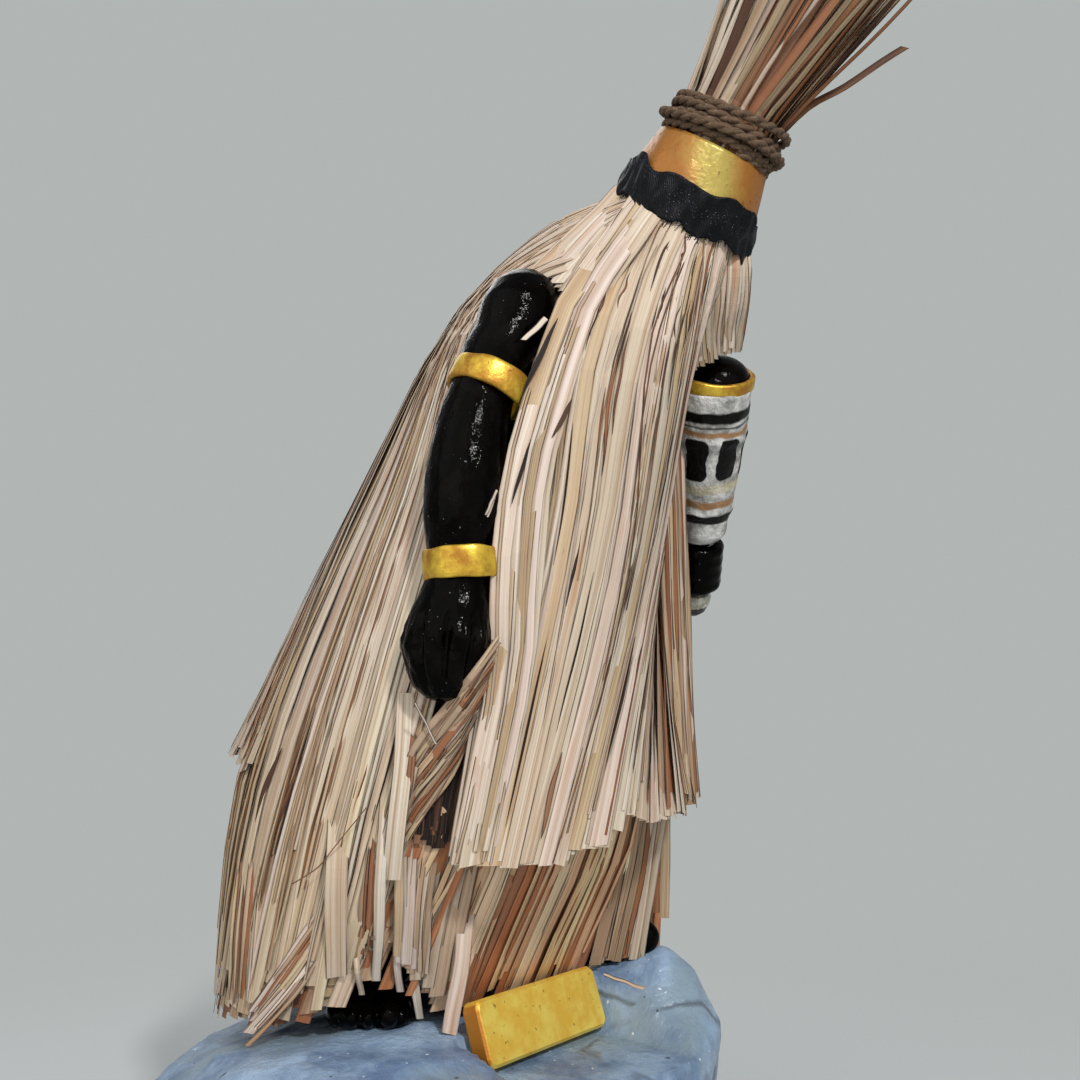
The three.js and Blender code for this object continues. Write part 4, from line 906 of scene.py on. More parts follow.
# The back of the cape, and its near side down to the rock
NEAR_SIDE = [
    [(376, 790, 278), (364, 880, 278.5), (358, 962, 282.5)],
    [(390, 790, 276), (381, 880, 277), (377, 962, 285)],
]
SIDE_FAN = [
    [(322, 905, 279.5), (288, 958, 283.5), (252, 1008, 287)],
    [(326, 948, 280.5), (290, 1000, 282.5), (246, 1046, 283)],
]
SIDE_EDGE = [
    [(243, 800, 304.5), (231, 930, 299.5), (226, 1008, 301)],
    [(266, 810, 295.5), (256, 930, 291), (250, 1010, 290)],
]
# Dark strands as painted shadow in the gaps of the side straw
SIDE_GAP_SHADOWS = [
    ([(282, 748, 296), (266, 786, 297), (255, 822, 298)], 1.3, UMBER),
    ([(302, 758, 289.5), (286, 800, 291), (273, 842, 292)], 1.0, UMBER),
]
SIDE_LEAVES = [
    ([(338, 810, 280), (337, 865, 279), (336, 920, 279.5), (336, 977, 282)], 5.2, SAND),
    ([(386, 780, 276), (382, 850, 275.5), (379, 923, 279), (376, 981, 286.5)], 2.6, CREAM),
]
BESIDE_HAND = [([(407, 693, 278), (404, 756, 275), (396, 830, 274.5), (391, 880, 276.5)], 4.4, CREAM)]
BELOW_FINGERS = [
    ([(416, 703, 276.5), (412, 750, 275), (406, 797, 274.5)], 1.2, BROWN),
    ([(420, 716, 276), (416, 750, 275), (408, 800, 274.5)], 0.9, RUST),
]
STRAY_HAIRS = [
    ([(292, 884, 281.5), (312, 872, 279.5), (331, 852, 278), (366, 807, 276.5)], 0.3, BROWN),
    ([(415, 703, 270), (426, 724, 272), (436, 744, 273)], 0.6, PINK),
]
BACK_SLIVERS = [
    (0.62, 3.2, 3.9, 0.7, SHADOW_BROWN), (0.7, 3.4, 4.1, 0.6, RUST), (0.55, 3.9, 4.6, 0.6, SHADOW_BROWN),
    (0.66, 4.2, 4.8, 0.8, SHADOW_BROWN), (0.75, 4.0, 4.6, 0.6, BROWN), (0.58, 4.4, 4.9, 0.7, SHADOW_BROWN),
    (0.3, 3.3, 4.2, 0.7, SHADOW_BROWN), (0.42, 3.8, 4.6, 0.7, UMBER),
]
SIDE_SLIVERS = [
    (0.25, 2.2, 2.8, 0.7, SHADOW_BROWN), (0.4, 2.5, 3.2, 0.6, SHADOW_BROWN), (0.55, 2.8, 3.5, 0.7, RUST),
    (0.3, 3.2, 3.8, 0.8, SHADOW_BROWN), (0.7, 3.0, 3.7, 0.6, SHADOW_BROWN), (0.45, 3.7, 4.3, 1.0, SHADOW_BROWN),
    (0.62, 3.8, 4.4, 0.9, UMBER), (0.8, 3.6, 4.2, 0.7, RUST), (0.2, 3.9, 4.5, 1.0, SHADOW_BROWN),
    (0.1, 4.0, 4.6, 0.9, UMBER), (0.5, 4.2, 4.7, 0.8, BROWN), (0.9, 3.4, 4.0, 0.6, SHADOW_BROWN),
]
BACK_HEM = 5


def side_shade(degrees, levels):
    """Warmer towards the lower ends, whatever the degrees."""
    return 1 - smooth(levels, 3.2, 4.2)[..., None] * np.array([0.02, 0.08, 0.2])


def make_back():
    strips = Strips(18, 12)
    at = (strips, BACK_RINGS, BACK_ARCS)
    over = {"span": BACK_SPAN}
    layer(*at, 40, (3.5, 6.0), (-2.2, -1.4), ragged(BACK_HEM, -0.12, -0.03), SHADED_INNER, **over)
    layer(*at, 46, (3.0, 5.5), (-0.7, -0.2), ragged(BACK_HEM, -0.06, 0.0), BRIGHT, **over, drift=0.8)
    layer(*at, 34, (4.0, 7.0), (0.0, 0.5), ragged(BACK_HEM, -0.05, 0.01), BRIGHT, **over, drift=0.7)
    loose = {**over, "even": False}
    layer(*at, 14, (3.0, 6.0), (0.5, 1.2), ragged(BACK_HEM, -0.06, 0.02), BRIGHT, **loose, drift=0.9)
    wisps(*at, 12, 5, (0.3, 1.0), ragged(BACK_HEM, -0.2, 0.02), WARM, **over, drift=0.8)
    layer(*at, 24, (0.7, 1.8), (0.9, 1.5), ragged(BACK_HEM, -0.2, 0.03), MIXED, **loose, drift=1.2, sway=0.02)
    side = (strips, SIDE_RINGS, SIDE_ARCS)
    deep = {"inset": SIDE_INSET}
    lit = {**deep, "shade": side_shade}
    layer(*side, 24, (4.0, 6.5), (-2.0, -1.2), ragged(4.85, -0.3, 0.0), SHADED_INNER, span=(0.0, 0.9), **deep)
    layer(*side, 20, (3.5, 6.0), (-0.8, -0.2), ragged(4.85, -0.3, 0.05), MIXED, **lit, drift=0.8)
    layer(*side, 15, (4.0, 6.5), (0.0, 0.5), ragged(4.85, -0.25, 0.1), BRIGHT, **lit, drift=0.7)
    layer(*side, 8, (2.5, 5.0), (0.5, 1.2), ragged(4.8, -0.5, 0.15), BRIGHT, even=False, **lit, drift=0.9)
    wisps(*side, 6, 6, (0.3, 1.2), ragged(4.7, -0.5, 0.15), EARTH, **lit)
    layer(*side, 12, (0.7, 1.7), (0.8, 1.4), ragged(4.7, -0.7, 0.2), MIXED, even=False, **deep, drift=1.0)
    slivers(*at, BACK_SLIVERS)
    slivers(*side, SIDE_SLIVERS, **deep)
    slits(*at, (2.4, 3.0, 3.5, 4.0), 4, **over)
    slits(*side, (1.6, 2.3, 3.0, 3.7), 3, **deep)
    between(strips, NEAR_SIDE, 12, (0.6, 1.8), SHADED, 0.7, tuck=2.5)
    between(strips, SIDE_EDGE, 12, (0.8, 2.2), EARTH, 0.8, tuck=3.0)
    between(strips, SIDE_FAN, 16, (0.6, 1.4), WARM, 0.6, tuck=3.0)
    between(strips, SIDE_FAN, 3, (2.2, 3.0), PALE, 0.5, tuck=3.5)
    strands(strips, SIDE_GAP_SHADOWS, pointed=True)
    strands(strips, SIDE_LEAVES, tuck=3.0)
    strands(strips, BESIDE_HAND)
    strands(strips, BELOW_FINGERS, tuck=2.0)
    strands(strips, STRAY_HAIRS)
    strips.build("cape_back", ["cape_back_straw"])


# The skirt
BEHIND_HAND = [
    [(414, 718, 277.5), (407, 790, 278), (404, 850, 278.5)],
    [(470, 718, 281), (456, 790, 280), (446, 850, 279.5)],
]
BELOW_HAND = [
    [(398, 840, 277.5), (397, 900, 279.5), (396, 962, 284)],
    [(442, 846, 280.5), (430, 920, 283), (425, 990, 287.5)],
]
UNDER_HAND = [
    [(500, 636, 269), (471, 676, 267.5), (447, 704, 272), (416, 746, 275), (402, 775, 276.5)],
    [(464, 748, 277), (450, 778, 277.5), (430, 808, 277.5), (410, 838, 277.5), (399, 856, 278)],
]
BESIDE_PLAQUE = [
    [(455, 850, 281), (440, 910, 283.5), (426, 990, 288.5)],
    [(476, 856, 282.5), (463, 920, 285), (450, 1000, 289.5)],
]
BY_FAR_FOOT = [
    [(625, 800, 310), (612, 870, 318), (590, 965, 326)],
    [(664, 800, 318), (655, 870, 324), (641, 958, 329)],
]
OVER_TOES = [
    ([(468, 900, 283), (462, 960, 284), (449, 1034, 283)], 3.8, PINK),
    ([(353, 941, 280), (357, 968, 282), (362, 995, 286)], 1.4, SAND),
    ([(395, 923, 282.5), (397, 958, 285), (400, 992, 289)], 2.0, PINK),
]
LAST_OVER_TOES = [([(413, 968, 286), (416, 992, 289), (420, 1019, 292)], 2.0, CREAM)]
PAST_FAR_FOOT = [
    ([(654, 812, 322), (655, 860, 326), (656, 913, 330)], 2.2, RUST),
    ([(665, 812, 324), (665, 865, 328), (664, 918, 331)], 2.8, HONEY),
]
FALLEN_STRAW = [([(604, 974, 318.5), (617, 979, 316.5), (631, 984, 314.5), (644, 989, 312.5)], 1.0, SAND)]


def skirt_painted_light(degrees, levels):
    """Paler low down at the front of the skirt: painted light that lifts the shade under the cape's hem."""
    front = bell(turn_near(degrees, 10), 62)
    return 1 + (front * smooth(levels, 1.9, 2.3))[..., None] * np.array([0.75, 0.5, 0.3])


def make_skirt():
    strips = Strips(13, 13)
    at = (strips, SKIRT_RINGS, SKIRT_ARCS)
    lit = {"shade": skirt_painted_light}
    loose = {**lit, "even": False}
    layer(*at, 80, (5.0, 8.0), (-3.0, -1.6), ragged(2.85, -0.1, 0.08), SHADED_INNER)
    layer(*at, 76, (3.5, 6.5), (-1.0, 0.0), ragged(2.95, -0.08, 0.06), EARTH, sway=0.006, drift=0.7, **lit)
    layer(*at, 36, (3.0, 5.5), (0.2, 0.9), ragged(2.95, -0.12, 0.08), WARM, sway=0.006, drift=0.8, **loose)
    wisps(*at, 18, 5, (0.2, 1.0), ragged(2.9, -0.2, 0.1), EARTH, spread=0.006, **lit)
    layer(*at, 36, (0.8, 1.8), (0.8, 1.5), ragged(2.9, -0.3, 0.12), WARM, sway=0.01, drift=1.0, **loose)
    layer(*at, 18, (3.0, 5.0), (-0.6, 0.3), ragged(2.95, -0.1, 0.06), EARTH, (0.88, 1.06), drift=0.6, **lit)
    # Dark strips behind the hand: painted shadow
    between(strips, BEHIND_HAND, 24, (1.4, 3.0), HAND_SHADOW, 0.5)
    between(strips, BELOW_HAND, 12, (1.4, 3.0), HANDLED, 0.75, tuck=1.5)
    between(strips, UNDER_HAND, 38, (0.6, 1.8), SWEPT, 0.6)
    between(strips, BESIDE_PLAQUE, 7, (3.0, 4.2), EARTH, 0.85)
    strands(strips, OVER_TOES, tuck=4.0)
    strands(strips, LAST_OVER_TOES, tuck=3.0)
    between(strips, BY_FAR_FOOT, 11, (2.0, 4.2), WARM, 0.97)
    between(strips, BY_FAR_FOOT, 7, (0.6, 1.6), EARTH, 0.9)
    strands(strips, PAST_FAR_FOOT)
    strands(strips, FALLEN_STRAW, out=OUT_ROCK)
    strips.build("skirt", ["skirt_straw"])


# The tuft: lengths along the head's axis, the bundle's radius where it is bound, and how it fans out
TUFT_COUNT = 330
TUFT_FOOT = 12.0
TUFT_BOUND = 29.1
TUFT_LONG = (33, 45)
TUFT_OPENS = 26
TUFT_FAN = 48
TUFT_RADIUS = 12.2
TUFT_SPREAD = 0.8
TUFT_LEAN = 5
TUFT_STRAY = 1.6
TUFT_WIDTHS = (0.9, 2.8)
GOLDEN_TURN = 137.508
LONG_STRAY = [(5, -95, 252), (9.5, -106, 262.4), (12.2, -114.6, 266.7), (16.7, -126.7, 274.1)]


def make_tuft():
    """The bundle through the collar and twine, and the loose ends above it."""
    strips = Strips(14, 14)
    rng = strips.rng
    count = TUFT_COUNT
    turn = np.arange(count) * GOLDEN_TURN * RAD
    share = np.sqrt((np.arange(count) + 0.5) / count)
    top = TUFT_BOUND + rng.uniform(*TUFT_LONG, (count, 1))
    rise = mix(TUFT_FOOT, top, np.linspace(0, 1, strips.steps)[None])
    free = np.clip((rise - TUFT_OPENS) / TUFT_FAN, 0, 1.2)
    reach = share[:, None] * TUFT_RADIUS * (1 + TUFT_SPREAD * free)
    stray = rng.normal(0, TUFT_STRAY, (count, 2))[:, None] * free[..., None]
    u = reach * np.cos(turn)[:, None] + stray[..., 0]
    v = reach * np.sin(turn)[:, None] - TUFT_LEAN * free + stray[..., 1]
    path = HEAD_AT + rise[..., None] * HEAD_UP + u[..., None] * HEAD_X + v[..., None] * HEAD_BACK
    face = turn + rng.normal(0, 25 * RAD, count)
    side = -np.sin(face)[:, None] * HEAD_X + np.cos(face)[:, None] * HEAD_BACK
    # Strips on the tuft's right as the camera sees it, away from the key light, take the darker tints:
    # painted shade
    toward = np.cos(turn) * 0.5 - np.sin(turn) * 0.87
    lit = (toward < rng.normal(-0.22, 0.3, count))[:, None]
    tints = np.where(lit, pick_tints(rng, count, *PALE), pick_tints(rng, count, *TUFT_SHADE))
    side = np.broadcast_to(side[:, None], path.shape).copy()
    lay(strips, path, side, rng.uniform(*TUFT_WIDTHS, count), tints, drift=0.3, taper=0.6)
    strand(strips, LONG_STRAY, 1.8, UMBER)
    strips.build("tuft", ["tuft_straw"])


make_front()
make_back()
make_skirt()
make_tuft()


# Twine: two twisted plies, with their offset and radius as shares of the twine's radius
TWINE_RADIUS = 1.16
WAIST_RADIUS = 1.1
TWINE_PITCH = 7.2
TWINE_UP = np.array([0.12, 0.2, 0.97])
PLY_OFFSET = 0.4
PLY_RADIUS = 0.62
PLY_SIDES = 8
PLY_END = np.array([[0, 1, 2, 3], [0, 3, 4, 7], [4, 5, 6, 7]])


def tube_axes(line):
    along = unit(np.gradient(line, axis=0))
    a = unit(np.cross(along, np.broadcast_to(TWINE_UP, line.shape)))
    return a, np.cross(a, along)


def twine_piece(name, centre, radius, replaces):
    """Twine that follows a fine row of points."""
    step = np.linalg.norm(np.diff(centre, axis=0), axis=1)
    length = np.concatenate([[0], np.cumsum(step)])
    a, b = tube_axes(centre)
    t = around(PLY_SIDES)
    points, quads, grain = [], [], []
    for ply in (0, 1):
        turn = TURN * length / TWINE_PITCH + ply * math.pi
        middle = centre + radius * PLY_OFFSET * (a * np.cos(turn)[:, None] + b * np.sin(turn)[:, None])
        p, q = tube_axes(middle)
        section = p[:, None] * np.cos(t)[None, :, None] + q[:, None] * np.sin(t)[None, :, None]
        points.append(middle[:, None] + radius * PLY_RADIUS * section)
        base = ply * len(centre) * PLY_SIDES
        quads.append(base + grid_quads(len(centre), PLY_SIDES, True)[:, ::-1])
        quads.append(base + PLY_END)
        quads.append(base + (len(centre) - 1) * PLY_SIDES + PLY_END[:, ::-1])
        across = t[None] * 0.6 + ply * 9 + length[:, None] * 1.2
        grain.append(np.stack(np.broadcast_arrays(across, length[:, None], 0.0 * t[None]), -1))
    piece = quad_mesh(name, np.concatenate(points), np.concatenate(quads), "twine", replaces)
    point_attribute(piece, "grain", "FLOAT_VECTOR", np.concatenate(grain))


def head_point(radius, turn, rise):
    """A point at a radius and an angle about the head's axis, and a rise along it."""
    aside = np.multiply(radius, np.cos(turn))[..., None] * HEAD_X
    back = np.multiply(radius, np.sin(turn))[..., None] * HEAD_BACK
    return HEAD_AT + aside + back + np.asarray(rise)[..., None] * HEAD_UP


COIL_TURNS = 5.3
COIL_RADIUS = 13.55
COIL_CLIMB = ([0, 1, 2, 3, 4, 4.25, 4.75, 5.3], [15.7, 16.8, 19.2, 21.6, 24.0, 24.6, 17.6, 20.0])
COIL_START = -2.2
COIL_POINTS = 1100
COIL_BLUR = 30


def head_coil():
    """Four close turns, then one that crosses them on the near side, then an end that stands off."""
    turns = np.linspace(0, 1, COIL_POINTS) * COIL_TURNS
    angle = COIL_START + turns * TURN
    climb = np.pad(np.interp(turns, *COIL_CLIMB), COIL_BLUR, mode="edge")
    blur = np.ones(2 * COIL_BLUR + 1) / (2 * COIL_BLUR + 1)
    climb = np.convolve(climb, blur, "valid")
    rise = climb + 0.35 * np.sin(1.31 * angle + 1) + 0.25 * np.sin(2.17 * angle)
    radius = COIL_RADIUS + 0.25 * np.sin(1.7 * angle)
    radius = radius + 1.7 * smooth(turns, 4.0, 4.35) + 1.6 * smooth(turns, 5.22, COIL_TURNS)
    return head_point(radius, angle, rise)


WAIST_Y, WAIST_Z = -22.3, DECK + 102
WAIST_WIDE, WAIST_DEEP = 21.9, 19.7


def waist_coil():
    angle = np.linspace(0, TURN, 260)[:-1]
    y = WAIST_Y - WAIST_DEEP * np.cos(angle)
    return np.stack([WAIST_WIDE * np.sin(angle), y, np.full(angle.shape, WAIST_Z)], -1)


twine_piece("twine", head_coil(), TWINE_RADIUS, ["twine_binding"])
twine_piece("waist_tie", waist_coil(), WAIST_RADIUS, ["waist_cord"])


# Ribbon and collar round the head
RIBBON_TURNS = 1.06
RIBBON_START = -0.35
RIBBON_RADIUS = 17.55
RIBBON_WIDE = 10
RIBBON_LOW = -5.1
RIBBON_HIGH = RIBBON_LOW + RIBBON_WIDE
RIBBON_THICK = 0.25
RIBBON_FLAT_RADIUS = 17.6
RIBBON_FLARE_AT = -0.95


def ribbon_lift(turn):
    return 0.75 * np.sin(3 * turn + 0.3) + 0.55 * np.sin(7 * turn + 1.4) + 0.3 * np.sin(12 * turn)


def make_ribbon():
    """A satin ribbon once round the straw, with its end laid over its start."""
    rows, cols = 17, 300
    share, t = np.meshgrid(np.linspace(0, 1, rows), np.linspace(0, 1, cols), indexing="ij")
    turn = RIBBON_START + t * RIBBON_TURNS * TURN
    edge = 0.35 * np.sin(17 * turn + 1) + 0.25 * np.sin(29 * turn)
    flare = bell((turn - RIBBON_FLARE_AT + math.pi) % TURN - math.pi, 0.6)
    rise = mix(RIBBON_LOW + edge, RIBBON_HIGH + 0.6 * np.sin(9 * turn + 2), share)
    rise = rise + ribbon_lift(turn) - 0.9 * flare
    crease = 0.3 * np.sin(6 * turn + 3 * share) + 0.22 * np.sin(14 * turn - 5 * share + 1)
    crease = crease + 0.15 * np.sin(23 * turn + 8 * share)
    radius = RIBBON_RADIUS + crease * np.sin(math.pi * share) ** 0.5 + 0.55 * smooth(t, 0.93, 0.95)
    radius = radius + 0.12 * np.sin(31 * turn) + 2.2 * flare * (1 - share)
    points = head_point(radius, turn, rise)
    piece = quad_mesh("ribbon", points, grid_quads(rows, cols, False), "black_satin", ["black_ribbon"])
    long = RIBBON_TURNS * TURN * RIBBON_FLAT_RADIUS
    face = np.array([long / (cols - 1), RIBBON_WIDE / (rows - 1)])
    uv_map(piece, "weave", grid_corners(rows - 1, cols - 1) * face)
    thicken(piece, RIBBON_THICK)


THREADS = 90
THREAD_LONG = (0.8, 2.6)
THREAD_HALF = 0.16
THREAD_TOP = -4.6
THREAD_RADIUS = 17.45


def make_fray():
    """Loose thread ends along the lower edge of the ribbon."""
    rng = np.random.default_rng(21)
    count, steps = THREADS, 5
    t = np.linspace(0, 1, steps)[None]
    turn = rng.uniform(0, TURN, (count, 1))
    drop = THREAD_TOP + ribbon_lift(turn) - t * rng.uniform(*THREAD_LONG, (count, 1))
    line = head_point(THREAD_RADIUS + 0.3 * t, turn + t * rng.normal(0, 0.05, (count, 1)), drop)
    wide = (THREAD_HALF * (1 - 0.6 * t) + 0 * turn)[..., None]
    out = unit(line - HEAD_AT - (line - HEAD_AT) @ HEAD_UP[:, None] * HEAD_UP)
    side = np.cross(out, HEAD_UP)
    corners = np.stack([line - side * wide, line + out * wide, line + side * wide, line - out * wide], 2)
    piece = quad_mesh("ribbon_threads", corners, strip_quads(count, steps, True), "black_satin")
    loops = len(piece.data.loops)
    uv_map(piece, "weave", np.zeros((loops, 2)) + np.linspace(0, 40, loops)[:, None])


# Radius and rise of the collar's lower and upper edge
COLLAR_LOW = (16.85, 3.0)
COLLAR_HIGH = (14.25, 14.8)
COLLAR_THICK = 0.6


def make_collar():
    rows, cols = 15, 160
    share, turn = np.meshgrid(np.linspace(0, 1, rows), around(cols), indexing="ij")
    dint = 0.16 * np.sin(4 * turn + 1.1) * np.sin(math.pi * share) + 0.1 * np.sin(11 * turn + 4 * share)
    radius, rise = (mix(low, high, share) for low, high in zip(COLLAR_LOW, COLLAR_HIGH))
    points = head_point(radius + dint, turn, rise)
    quads = grid_quads(rows, cols, True)
    piece = quad_mesh("collar", points, quads, "collar_gold", ["gold_collar"])
    thicken(piece, COLLAR_THICK)


make_ribbon()
make_fray()
make_collar()


# The barrel of the scepter: radius and rise above the fist at its two ends
BARREL_LOW = (6.8, 8.8)
BARREL_HIGH = (10.2, 52.6)
BARREL_WALL = 2.0
BARREL_LUMPS = (0.28, 0.35)
# The length that the heights of the painted stripes and blocks are measured on
BARREL_PAINT_LENGTH = 42.5


def make_barrel():
    rows, cols = 60, 72
    share, turn = np.meshgrid(np.linspace(0, 1, rows), around(cols), indexing="ij")
    radius = mix(BARREL_LOW[0], BARREL_HIGH[0], np.sin(share * 90 * RAD))
    radius = radius + 0.5 * bell(share - 0.21, 0.03) + 0.5 * bell(share - 0.7, 0.03)
    radius = radius - 0.8 * (1 - smooth(share, 0.0, 0.04)) - 0.25 * smooth(share, 0.98, 1.0)
    rise = mix(BARREL_LOW[1], BARREL_HIGH[1], share)[..., None] * SCEPTER_UP
    out = np.cos(turn)[..., None] * SCEPTER_X + np.sin(turn)[..., None] * SCEPTER_Y
    points = FIST + radius[..., None] * out + rise
    rough = lumps(points.reshape(-1, 3), BARREL_LUMPS).reshape(rows, cols, 1)
    points = points + out * rough
    piece = quad_mesh("barrel", points, grid_quads(rows, cols, True), "white_paint", ["scepter_barrel"])
    wrap = grid_corners(rows - 1, cols) / np.array([cols, rows - 1]) * np.array([1, BARREL_PAINT_LENGTH])
    uv_map(piece, "wrap", wrap)
    thicken(piece, BARREL_WALL)


make_barrel()


# The rock: its outline from the middle of the underside to the middle of the top, as shares of its radius
# and of the deck's height
ROCK_ROWS = np.array([
    [0.0, 0], [0.97, 0], [1, 0.08], [1.01, 0.3], [0.985, 0.56],
    [0.945, 0.78], [0.88, 0.92], [0.76, 0.985], [0.42, 1], [0.0, 1],
])
ROCK_WIDE, ROCK_DEEP = 75, 67
# Swellings of the top: height, x, y and width
ROCK_SWELLS = [(8, 43, -29, 29), (7, 45, -51, 10)]
TOE_SWELL = (3.0, 37, -44, 8)
ROCK_LUMPS = [(1.5, 1 / 15), (0.7, 1 / 6.5), (0.25, 1 / 2.6)]
PLAQUE_X = -2.1
PLAQUE_APRON = 37.6
FOOT_LONG, FOOT_WIDE = 21.5, 12
NEAR_FOOT = {"x": -17.5, "y": 4.6, "sole": DECK - 1, "lift": 0.2, "way": (-0.77, -0.64)}
FAR_FOOT = {"x": 39.5, "y": -22, "sole": DECK + 4, "lift": 5.0, "way": (0.34, -0.94)}


def swell(row, x, y):
    height, at_x, at_y, wide = row
    return height * bell(np.hypot(x - at_x, y - at_y), wide)


def rock_skin(rows, cols):
    """The rock's broad form, row by row up its outline."""
    numbers = np.arange(len(ROCK_ROWS))
    row = np.linspace(0.02, numbers[-1] - 0.02, rows)
    share, level = (np.interp(row, numbers, ROCK_ROWS[:, k])[:, None] for k in (0, 1))
    row = row[:, None] - 1
    t = around(cols)[None]
    lump = 0.028 * np.sin(3 * t + 0.8 * row) + 0.022 * np.sin(7 * t + 1.9 * row + 1)
    lump = lump + 0.012 * np.sin(11 * t - 1.3 * row)
    broad = 0.1 * bell(np.arctan2(np.sin(t + 0.95), np.cos(t + 0.95)), 0.75)
    edge = share * (1 + (lump + broad) * (1 - smooth(row, 6, 7)))
    x, y = ROCK_WIDE * edge * np.cos(t), ROCK_DEEP * edge * np.sin(t)
    dip = 8 * np.clip((-y - 22) / 22, 0, 1) ** 2 * np.exp(-(((x - PLAQUE_X) / 34) ** 4))
    fall = 9 * np.clip((y - 6 - 0.25 * x) / 48, 0, 1)
    high = np.maximum(level - 0.5, 0) * 2
    rise = sum(swell(bump, x, y) for bump in ROCK_SWELLS) - dip - fall + 0.5 * np.sin(5 * t + 2 * row)
    return np.stack([x, y, level * DECK + high * rise], -1).reshape(-1, 3)


def make_rock():
    """The rock, roughened, pressed in under the feet and cut back in front of the plaque."""
    rows, cols = 108, 240
    skin = rock_skin(rows, cols)
    rough = lumps(skin, *ROCK_LUMPS) * smooth(skin[:, 2], 0.5, 4)
    skin = skin + unit(skin - np.array([0, 0, 15.0])) * rough[:, None]
    x, y, z = skin.T
    for foot in (NEAR_FOOT, FAR_FOOT):
        way_x, way_y = foot["way"]
        u = (x - foot["x"]) * way_x + (y - foot["y"]) * way_y
        v = (x - foot["x"]) * -way_y + (y - foot["y"]) * way_x
        under = 1 - smooth(np.hypot(u / FOOT_LONG, v / FOOT_WIDE), 0.9, 1.25)
        pressed = mix(z, np.minimum(z, foot["sole"] + foot["lift"]), under)
        z = np.where(z > DECK * 0.7, pressed, z)
    z = z + swell(TOE_SWELL, x, y) * smooth(z, 38, 44)
    front = smooth(-y, 30, 33) * (1 - smooth(np.abs(x - PLAQUE_X), 25.4, 29))
    z = mix(z, np.minimum(z, PLAQUE_APRON + 0.12 * (y + 40)), front)
    points = np.stack([x, y, np.maximum(z, 0)], -1)
    quad_mesh("rock", points, grid_quads(rows, cols, True), "rock_paint", ["rock_base"])


make_rock()


# Gold bands on the arms and the rim of the scepter: the CAD node of each
BANDS = {
    "near_armlet": "right_armlet",
    "near_bracelet": "right_bracelet",
    "far_armlet": "left_armlet",
    "far_bracelet": "left_bracelet",
    "barrel_rim": "scepter_rim",
}
# Changes from the CAD band: share of its height, a move in millimetres and a lean of its axis
BAND_MOVES = {
    "near_armlet": (0.72, (0.4, -0.5, -1.9), (0, 0, 0)),
    "near_bracelet": (0.84, (0.9, -1.3, 1.2), (-0.073, 0.108, 0)),
    "barrel_rim": (0.95, (0, 0, 1.2), (0.03, -0.045, 0)),
}
BAND_AS_IS = (1.0, (0, 0, 0), (0, 0, 0))


def squared(wave):
    """A sine or cosine with fuller corners."""
    return np.sign(wave) * np.abs(wave) ** 0.5


def make_band(name, node, seed):
    """A rounded ring over a CAD band, found from that band's own points."""
    height, move, lean = BAND_MOVES.get(name, BAND_AS_IS)
    mesh = NODES[node].data
    points = np.empty(len(mesh.vertices) * 3)
    mesh.vertices.foreach_get("co", points)
    points = points.reshape(-1, 3) / MM
    centre = points.mean(0)
    rel = points - centre
    _, axes = np.linalg.eigh(np.cov(rel.T))
    axis = unit(axes[:, 0] * np.sign(axes[2, 0]) + np.array(lean))
    a = unit(axes[:, 2] - axis * (axes[:, 2] @ axis))
    b = np.cross(axis, a)
    tall = np.ptp(rel @ axis) * height
    wide, deep = np.ptp(rel @ a) / 2, np.ptp(rel @ b) / 2
    steps, profile = 96, 14
    t = around(steps)[:, None]
    p = around(profile)[None]
    dint = 0.12 * np.sin(3 * t + seed) + 0.08 * np.sin(7 * t + 2 * seed)
    out = 0.75 * squared(np.cos(p)) - 0.6 + dint
    rise = ((tall / 2 + dint) * squared(np.sin(p)))[..., None] * axis
    across = ((wide + out) * np.cos(t))[..., None] * a
    points = centre + np.array(move) + across + ((deep + out) * np.sin(t))[..., None] * b + rise
    k = np.arange(profile)
    n = (k + 1) % profile
    last = (steps - 1) * profile
    quads = np.concatenate([grid_quads(steps, profile, True), np.stack([last + k, last + n, n, k], -1)])
    quad_mesh(name, points, quads[:, ::-1], "gold_paint", [node])


for seed, (name, node) in enumerate(BANDS.items()):
    make_band(name, node, seed)


# The hanging arm and its hand: x, y, height above the deck, and the radius along x and along y
ARM_ROWS = np.array([
    [-29.6, -49.2, 175.4, 0.5, 0.5], [-29.6, -49.2, 174.6, 3.6, 3.6], [-29.8, -49.1, 172.2, 6.8, 6.8],
    [-30.4, -48.8, 168.0, 8.8, 8.9], [-31.8, -48.0, 162, 9.2, 9.4], [-34.8, -46.2, 155, 8.8, 9.0],
    [-37.2, -44.6, 149, 8.0, 8.1], [-39.4, -43.2, 142, 8.0, 8.1], [-41.6, -42.4, 131, 8.7, 8.8],
    [-42.8, -42.1, 121, 9.0, 9.1], [-43.3, -41.7, 113, 8.2, 8.3], [-43.4, -41.2, 108, 7.2, 7.3],
    [-43.4, -41.2, 103, 6.9, 7.1], [-43.6, -40.6, 99.5, 7.4, 8.0], [-44.2, -39.6, 94, 8.3, 9.6],
    [-44.8, -39.0, 87.5, 8.5, 10.2], [-45.0, -38.8, 82, 7.7, 9.1], [-45.0, -38.8, 78, 5.9, 6.9],
    [-45.0, -38.8, 75.6, 3.6, 4.2], [-45.0, -38.8, 74.6, 0.5, 0.6],
])
FINGERS_FACE = 214
FINGER_STEP = 38
KNUCKLES_AT = 89
GROOVE_DEEP = 1.3
ARM_LUMPS = [(1.0, 0.22), (0.5, 0.6)]


